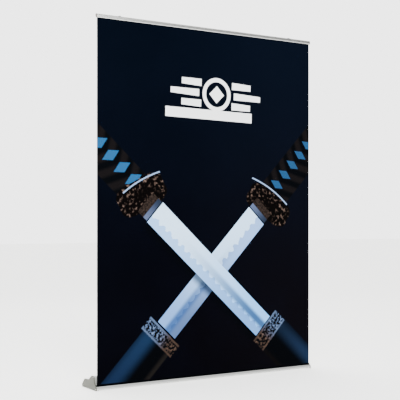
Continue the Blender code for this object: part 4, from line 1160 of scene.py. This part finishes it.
class STAND_OT_rail(StandOperator, bpy.types.Operator):
    """Models the two extrusions of the top rail: the channelled back and the snap-shut jaw"""

    bl_idname = "stand.rail"
    bl_label = "Top rail"

    def execute(self, context):
        back = extruded("rail_rear_extrusion", on_rail(self.back_section()), -RAIL_HALF, RAIL_HALF)
        round_edges(back, 0.15 * MM, 2)
        finish(back, FINISHES["extrusion"], "rail", "anodised_aluminium", "rail_back")
        jaw = extruded("rail_front_jaw", on_rail(self.jaw_section()), -RAIL_HALF, RAIL_HALF)
        round_edges(jaw, 0.15 * MM, 2)
        finish(jaw, FINISHES["extrusion"], "jaw", "anodised_aluminium", "rail_jaw")
        return {"FINISHED"}

    def back_section(self):
        bead = (-BEAD_FRONT, BEAD_UP)
        socket_in = JAW_BEAD + RUNNING_GAP
        ceiling = CHANNEL_TOP - CHANNEL_LIP
        foot = 0.6 * MM
        points = [(FILM_FACE, foot), (FILM_FACE, 11.5 * MM)]
        points += arc(bead, socket_in, -60, 185, 30)
        points += arc(bead, socket_in + JAW_SOCKET_WALL, 185, 8, 24)
        points += [(RAIL_REAR, CHANNEL_TOP), (RAIL_REAR, ceiling - CHANNEL_DEPTH)]
        points += [(RAIL_REAR - CHANNEL_LIP, ceiling - CHANNEL_DEPTH), (RAIL_REAR - CHANNEL_LIP, ceiling)]
        return points + [(CHANNEL_FRONT, ceiling), (CHANNEL_FRONT, foot)]

    def jaw_section(self):
        bead = (-BEAD_FRONT, BEAD_UP)
        neck, skin, front = 0.7 * MM, 1.4 * MM, RAIL_DEPTH_FRONT
        spread = math.degrees(math.asin(neck / JAW_BEAD))
        grip = -FILM_FACE
        web_top = BEAD_UP - JAW_BEAD - RUNNING_GAP - JAW_SOCKET_WALL - 0.6 * MM
        web_bottom = web_top - skin
        points = arc(bead, JAW_BEAD, -90 + spread, 270 - spread, 30)
        points += [(bead[0] - neck, web_top), (-front * 0.66, web_top + 1.2 * MM)]
        outer = [
            (-front * 0.72, web_top + 2.2 * MM),
            (-front * 0.90, web_top - 0.8 * MM),
            (-front * 0.99, web_top - 4.5 * MM),
            (-front, web_top - 8.0 * MM),
            (-front * 0.90, 2.0 * MM),
            (-front * 0.70, 0.4 * MM),
            (-front * 0.45, 0),
            (grip - 0.4 * MM, 0.4 * MM),
        ]
        points += smooth_path(outer, 4)
        points += [(grip, 1.2 * MM), (grip, 3.4 * MM), (grip - 1.2 * MM, 3.4 * MM)]
        inner = [
            (-front * 0.52, 1.8 * MM),
            (-front + skin + 0.4 * MM, 3.4 * MM),
            (-front + skin, web_top - 8.0 * MM),
            (-front * 0.99 + skin, web_top - 5.0 * MM),
            (-front * 0.70, web_bottom),
        ]
        points += smooth_path(inner, 3)
        return points + [(bead[0] + neck, web_bottom)]


class STAND_OT_rail_ends(StandOperator, bpy.types.Operator):
    """Models the top rail's two moulded end caps"""

    bl_idname = "stand.rail_ends"
    bl_label = "Rail ends"

    def execute(self, context):
        _, details = settings()
        overhang = 0.4 * MM
        front = RAIL_DEPTH_FRONT + overhang
        corners = [
            (-front * 0.93, 0, 2.5 * MM),
            (-front, 11.0 * MM, 5 * MM),
            (-front * 0.72, RAIL_HEIGHT - 3.0 * MM, 3 * MM),
            (-3.4 * MM, RAIL_HEIGHT, 2.2 * MM),
            (2.2 * MM, RAIL_HEIGHT, 2.0 * MM),
            (RAIL_REAR, CHANNEL_TOP + 0.6 * MM, 1.2 * MM),
            (RAIL_REAR, 9.5 * MM, 1.0 * MM),
            (CHANNEL_FRONT + overhang, 7.0 * MM, 1.0 * MM),
            (CHANNEL_FRONT + overhang, 0, 0.8 * MM),
        ]
        section = on_rail(rounded(corners))
        for side, word in SIDES:
            cap = extruded(f"moulded_rail_end_{word}", section, side * RAIL_LOW.x, side * RAIL_HIGH.x)
            round_rim(cap, side * RAIL_HIGH.x, details.edge)
            finish(cap, FINISHES["rail_cap"], "rail", "grey_plastic", f"rail_end_{word}")
        return {"FINISHED"}


class STAND_OT_masts(StandOperator, bpy.types.Operator):
    """Models the six telescoping tubes with softened ends"""

    bl_idname = "stand.masts"
    bl_label = "Mast tubes"

    def execute(self, context):
        for side, word in SIDES:
            bodies = {"lower": "base", "middle": f"mast_middle_{word}", "upper": f"mast_upper_{word}"}
            for stage, body in bodies.items():
                node = f"pole_{stage}_{word}"
                low, high = along_mast(node)
                outer = mast_radius(node)
                inner, chamfer = outer - TUBE_WALL, 0.25 * MM
                profile = [(inner, low), (outer - chamfer, low), (outer, low + chamfer)]
                profile += [(outer, high - chamfer), (outer - chamfer, high), (inner, high)]
                tube = turned(f"mast_tube_{stage}_{word}", profile, 64)
                set_on_mast(tube, side)
                finish(tube, FINISHES["tube"], body, "anodised_aluminium", node)
        return {"FINISHED"}


class STAND_OT_locks(StandOperator, bpy.types.Operator):
    """Models the twist locks, with a ribbed grip under a tapered nose"""

    bl_idname = "stand.locks"
    bl_label = "Twist locks"

    def execute(self, context):
        _, details = settings()
        for side, word in SIDES:
            for stage, below, above in (("lower", "lower", "middle"), ("upper", "middle", "upper")):
                node = f"lock_{stage}_{word}"
                low, high = along_mast(node)
                outer = mast_radius(node)
                sleeve = mast_radius(f"pole_{below}_{word}") + FIT
                lip = mast_radius(f"pole_{above}_{word}") + RUNNING_GAP
                shoulder = along_mast(f"pole_{below}_{word}")[1] + FIT
                skin = outer - 0.6 * MM
                profile = [(sleeve, low), (skin - 0.5 * MM, low), (skin, low + 0.5 * MM)]
                profile += [(skin, high - 7.5 * MM), (outer, high - 6.8 * MM), (outer, high - 6.0 * MM)]
                profile += [(outer - 1.0 * MM, high - 3.0 * MM), (outer - 2.4 * MM, high - 0.3 * MM)]
                profile += [(outer - 2.8 * MM, high), (lip, high), (lip, shoulder), (sleeve, shoulder)]
                lock = turned(f"twist_lock_{stage}_{word}", profile, 64)
                self.add_ribs(lock, details.lock_ribs, outer, low + 1.2 * MM, high - 8.5 * MM)
                set_on_mast(lock, side)
                finish(lock, FINISHES["dark"], f"lock_{stage}_{word}", "dark_plastic", node)
        return {"FINISHED"}

    def add_ribs(self, lock, count, outer, low, high):
        """Unites the sleeve with rounded ribs, each set a little into it."""
        radius = 1.0 * MM
        away = outer - radius
        for k in range(count):
            turn = math.tau * k / count
            at = (away * math.cos(turn), away * math.sin(turn), (low + high) / 2)
            bpy.ops.mesh.primitive_cylinder_add(vertices=12, radius=radius, depth=high - low, location=at)
            rib = bpy.context.active_object
            round_edges(rib, 0.4 * MM, 2, 50)
            unite(lock, rib)


class STAND_OT_sockets(StandOperator, bpy.types.Operator):
    """Models the mast sockets: a flanged cup with a raised mouth, bored along the mast"""

    bl_idname = "stand.sockets"
    bl_label = "Mast sockets"

    def execute(self, context):
        for side, word in SIDES:
            node = f"pole_socket_{word}"
            low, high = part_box(node)
            at = middle(node)
            half_x, half_y = (high.x - low.x) / 2, (high.y - low.y) / 2
            around = ((-1, -1), (-1, 1), (1, 1), (1, -1))
            outline = rounded([(a * half_x, b * half_y, 6 * MM) for a, b in around], 10)
            points = [(at.x + a, at.y + b, high.z - SOCKET_FLANGE) for a, b in outline]
            flange = filled_and_extruded(f"mast_socket_{word}", points, (0, 0, SOCKET_FLANGE))
            round_edges(flange, 0.7 * MM, 3, 60)
            # The cup ends inside the flange, 1 mm under its top.
            cup_top = high.z - 1.0 * MM
            bpy.ops.mesh.primitive_cylinder_add(
                vertices=64, radius=SOCKET_CUP_RADIUS, depth=cup_top - low.z,
                location=(at.x, at.y, (low.z + cup_top) / 2),
            )
            unite(flange, bpy.context.active_object)
            bore = mast_radius(f"pole_lower_{word}") + FIT
            hole = turned("socket_bore", [(0, 0), (bore, 0), (bore, 80 * MM), (0, 80 * MM)], 64)
            set_on_mast(hole, side)
            cut(flange, hole)
            shank, rim, below, above = 1.7 * MM, 2.75 * MM, -12 * MM, 3 * MM
            profile = [(0, below), (shank, below), (shank, -1.6 * MM), (rim, 0), (rim, above), (0, above)]
            for name in SOCKET_SCREWS:
                screw = f"socket_screw_{word}_{name}"
                seat = turned("screw_seat", profile, 32)
                seat.location = middle(screw)
                seat.location.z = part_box(screw)[1].z
                cut(flange, seat)
            finish(flange, FINISHES["dark"], "base", "dark_plastic", node)
        return {"FINISHED"}


class STAND_OT_hook_caps(StandOperator, bpy.types.Operator):
    """Models the caps on the masts, each with the tongue that holds up the rail"""

    bl_idname = "stand.hook_caps"
    bl_label = "Hook caps"

    def execute(self, context):
        for side, word in SIDES:
            node = f"hook_cap_{word}"
            top = along_mast(f"pole_upper_{word}")[1] + FIT
            low = along_mast(node)[0]
            high = (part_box(node)[1].z - MAST_FOOT.z) / math.cos(MAST_LEAN) - 0.3 * MM
            bore = mast_radius(f"pole_upper_{word}") + FIT
            outer, chamfer, dome = HOOK_CAP_RADIUS, 0.4 * MM, 2.6 * MM
            profile = [(0, top), (bore, top), (bore, low), (outer - chamfer, low), (outer, low + chamfer)]
            profile += arc((outer - dome, high - dome), dome, 0, 90, 8)
            profile += [(0, high)]
            cap = turned(f"mast_hook_cap_{word}", profile, 64)
            set_on_mast(cap, side)
            make_active(cap)
            bpy.ops.object.transform_apply(location=True, rotation=True, scale=True)
            unite(cap, self.tongue(side))
            finish(cap, FINISHES["dark"], f"mast_upper_{word}", "dark_plastic", node)
        return {"FINISHED"}

    def tongue(self, side):
        """The arm under the rail's lip, and the tongue that stands up from it in the rail's channel."""
        front = CHANNEL_FRONT + (CHANNEL_OPENING - HOOK_TONGUE) / 2
        ceiling = RAIL_BOTTOM + CHANNEL_TOP - CHANNEL_LIP
        top = ceiling - FIT
        arm_top = ceiling - CHANNEL_DEPTH - 2 * FIT
        arm_foot = arm_top - HOOK_ARM
        back = RAIL_REAR + 2.5 * MM
        corners = [
            (front, arm_foot, 0.8 * MM),
            (front, top, 0.8 * MM),
            (front + HOOK_TONGUE, top, 0.8 * MM),
            (front + HOOK_TONGUE, arm_top, 0.3 * MM),
            (back, arm_top, 0.05 * MM),
            (back, arm_foot, 0.05 * MM),
        ]
        x = side * MAST_FOOT.x
        return extruded("tongue", shifted(rounded(corners, 5)), x - HOOK_HALF_WIDTH, x + HOOK_HALF_WIDTH)


class STAND_OT_inner_pieces(StandOperator, bpy.types.Operator):
    """Gives the model's own inner pieces their materials"""

    bl_idname = "stand.inner_pieces"
    bl_label = "Inner pieces"

    def execute(self, context):
        wanted = {
            "extrusion": ["roller_tube"],
            "zinc": ["idler_pin", "spring_mandrel", "mandrel_collar", "torsion_spring"],
            "dark": ["spring_anchor", "roller_plug_left", "roller_plug_right"],
            "back": ["banner_roll"],
        }
        for _, word in SIDES:
            wanted["dark"] += [f"pole_foot_{word}", f"glide_middle_{word}", f"glide_upper_{word}"]
        for finish_name, nodes in wanted.items():
            for node in nodes:
                mesh = frame["nodes"][node].data
                mesh.materials.clear()
                mesh.materials.append(FINISHES[finish_name])
        return {"FINISHED"}


class STAND_OT_stage(StandOperator, bpy.types.Operator):
    """Lays the pale paper, and sets the soft lights and the camera"""

    bl_idname = "stand.stage"
    bl_label = "Studio"

    def execute(self, context):
        colours, _ = settings()
        self.paper(list(colours.paper))
        self.world()
        self.light("key_softbox", at=(-2.6, -4.6, 4.6), towards=(0, 0, 0.9), size=2.4, power=600)
        self.light("back_softbox", at=(1.8, 4.4, 3.4), towards=(0, 0, 1.0), size=2.5, power=60)
        self.camera()
        return {"FINISHED"}

    def paper(self, shade):
        """A flat floor that reaches far past the stand on all sides."""
        deselect_all()
        bpy.ops.mesh.primitive_plane_add(size=60, location=(0, 0, 0))
        floor = bpy.context.active_object
        floor.name = "studio_floor"
        floor.data.materials.append(studio_paper("seamless_paper", shade, 1.8))

    def world(self):
        """White light, dim from in front and bright from behind and overhead."""
        world = bpy.data.worlds.new("studio")
        bpy.context.scene.world = world
        world.use_nodes = True
        tree = world.node_tree
        direction = add(tree, "ShaderNodeTexCoord").outputs["Generated"]
        toward = add(tree, "ShaderNodeSeparateXYZ", {0: direction})
        front_strength, back_strength, top_strength = 0.35, 3.8, 1.9
        behind = {"Value": toward.outputs[1], "From Min": 0.1, "From Max": 0.6}
        behind.update({"To Min": front_strength, "To Max": back_strength})
        sides = add(tree, "ShaderNodeMapRange", behind, interpolation_type="SMOOTHSTEP").outputs[0]
        above = {"Value": toward.outputs[2], "From Min": 0.4, "From Max": 0.9}
        roof = add(tree, "ShaderNodeMapRange", above, interpolation_type="SMOOTHSTEP").outputs[0]
        glow = maths(tree, "MAXIMUM", sides, maths(tree, "MULTIPLY", roof, top_strength))
        background = tree.nodes["Background"]
        background.inputs["Color"].default_value = linear("#ffffff")
        tree.links.new(glow, background.inputs["Strength"])

    def light(self, name, at, towards, size, power):
        deselect_all()
        bpy.ops.object.light_add(type="AREA", location=at)
        lamp = bpy.context.active_object
        lamp.name = name
        lamp.data.shape = "SQUARE"
        lamp.data.size = size
        lamp.data.energy = power
        lamp.rotation_euler = (Vector(towards) - Vector(at)).to_track_quat("-Z", "Y").to_euler()

    def camera(self):
        """Level, at about chest height, turned towards the banner from the left."""
        deselect_all()
        at = (-2.9662, BANNER_Y - 4.6492, 0.9536)
        level, to_the_right = math.radians(90), math.radians(-31.89)
        bpy.ops.object.camera_add(location=at, rotation=(level, 0, to_the_right))
        camera = bpy.context.active_object
        camera.data.sensor_width = 36
        camera.data.lens = 82.7
        camera.data.shift_y = 0.05
        bpy.context.scene.camera = camera


STEPS = (
    STAND_OT_materials,
    STAND_OT_cassette,
    STAND_OT_end_caps,
    STAND_OT_screws,
    STAND_OT_guide,
    STAND_OT_feet,
    STAND_OT_banner,
    STAND_OT_rail,
    STAND_OT_rail_ends,
    STAND_OT_masts,
    STAND_OT_locks,
    STAND_OT_sockets,
    STAND_OT_hook_caps,
    STAND_OT_inner_pieces,
    STAND_OT_stage,
)


class STAND_PT_steps(bpy.types.Panel):
    """Lists the steps and the settings"""

    bl_idname = "STAND_PT_steps"
    bl_label = "Banner stand"
    bl_space_type = "VIEW_3D"
    bl_region_type = "UI"
    bl_category = "Banner stand"

    def draw(self, context):
        for group in (context.scene.stand_finishes, context.scene.stand_details):
            for name in group.__annotations__:
                self.layout.prop(group, name)
        for step in STEPS:
            self.layout.operator(step.bl_idname)


CLASSES = (StandFinishes, StandDetails, *STEPS, STAND_PT_steps)


def register():
    for cls in CLASSES:
        bpy.utils.register_class(cls)
    bpy.types.Scene.stand_finishes = PointerProperty(type=StandFinishes)
    bpy.types.Scene.stand_details = PointerProperty(type=StandDetails)


def unregister():
    del bpy.types.Scene.stand_finishes
    del bpy.types.Scene.stand_details
    for cls in reversed(CLASSES):
        bpy.utils.unregister_class(cls)


def main():
    register()
    for step in STEPS:
        group, name = step.bl_idname.split(".")
        getattr(getattr(bpy.ops, group), name)()


if __name__ == "__main__":
    main()
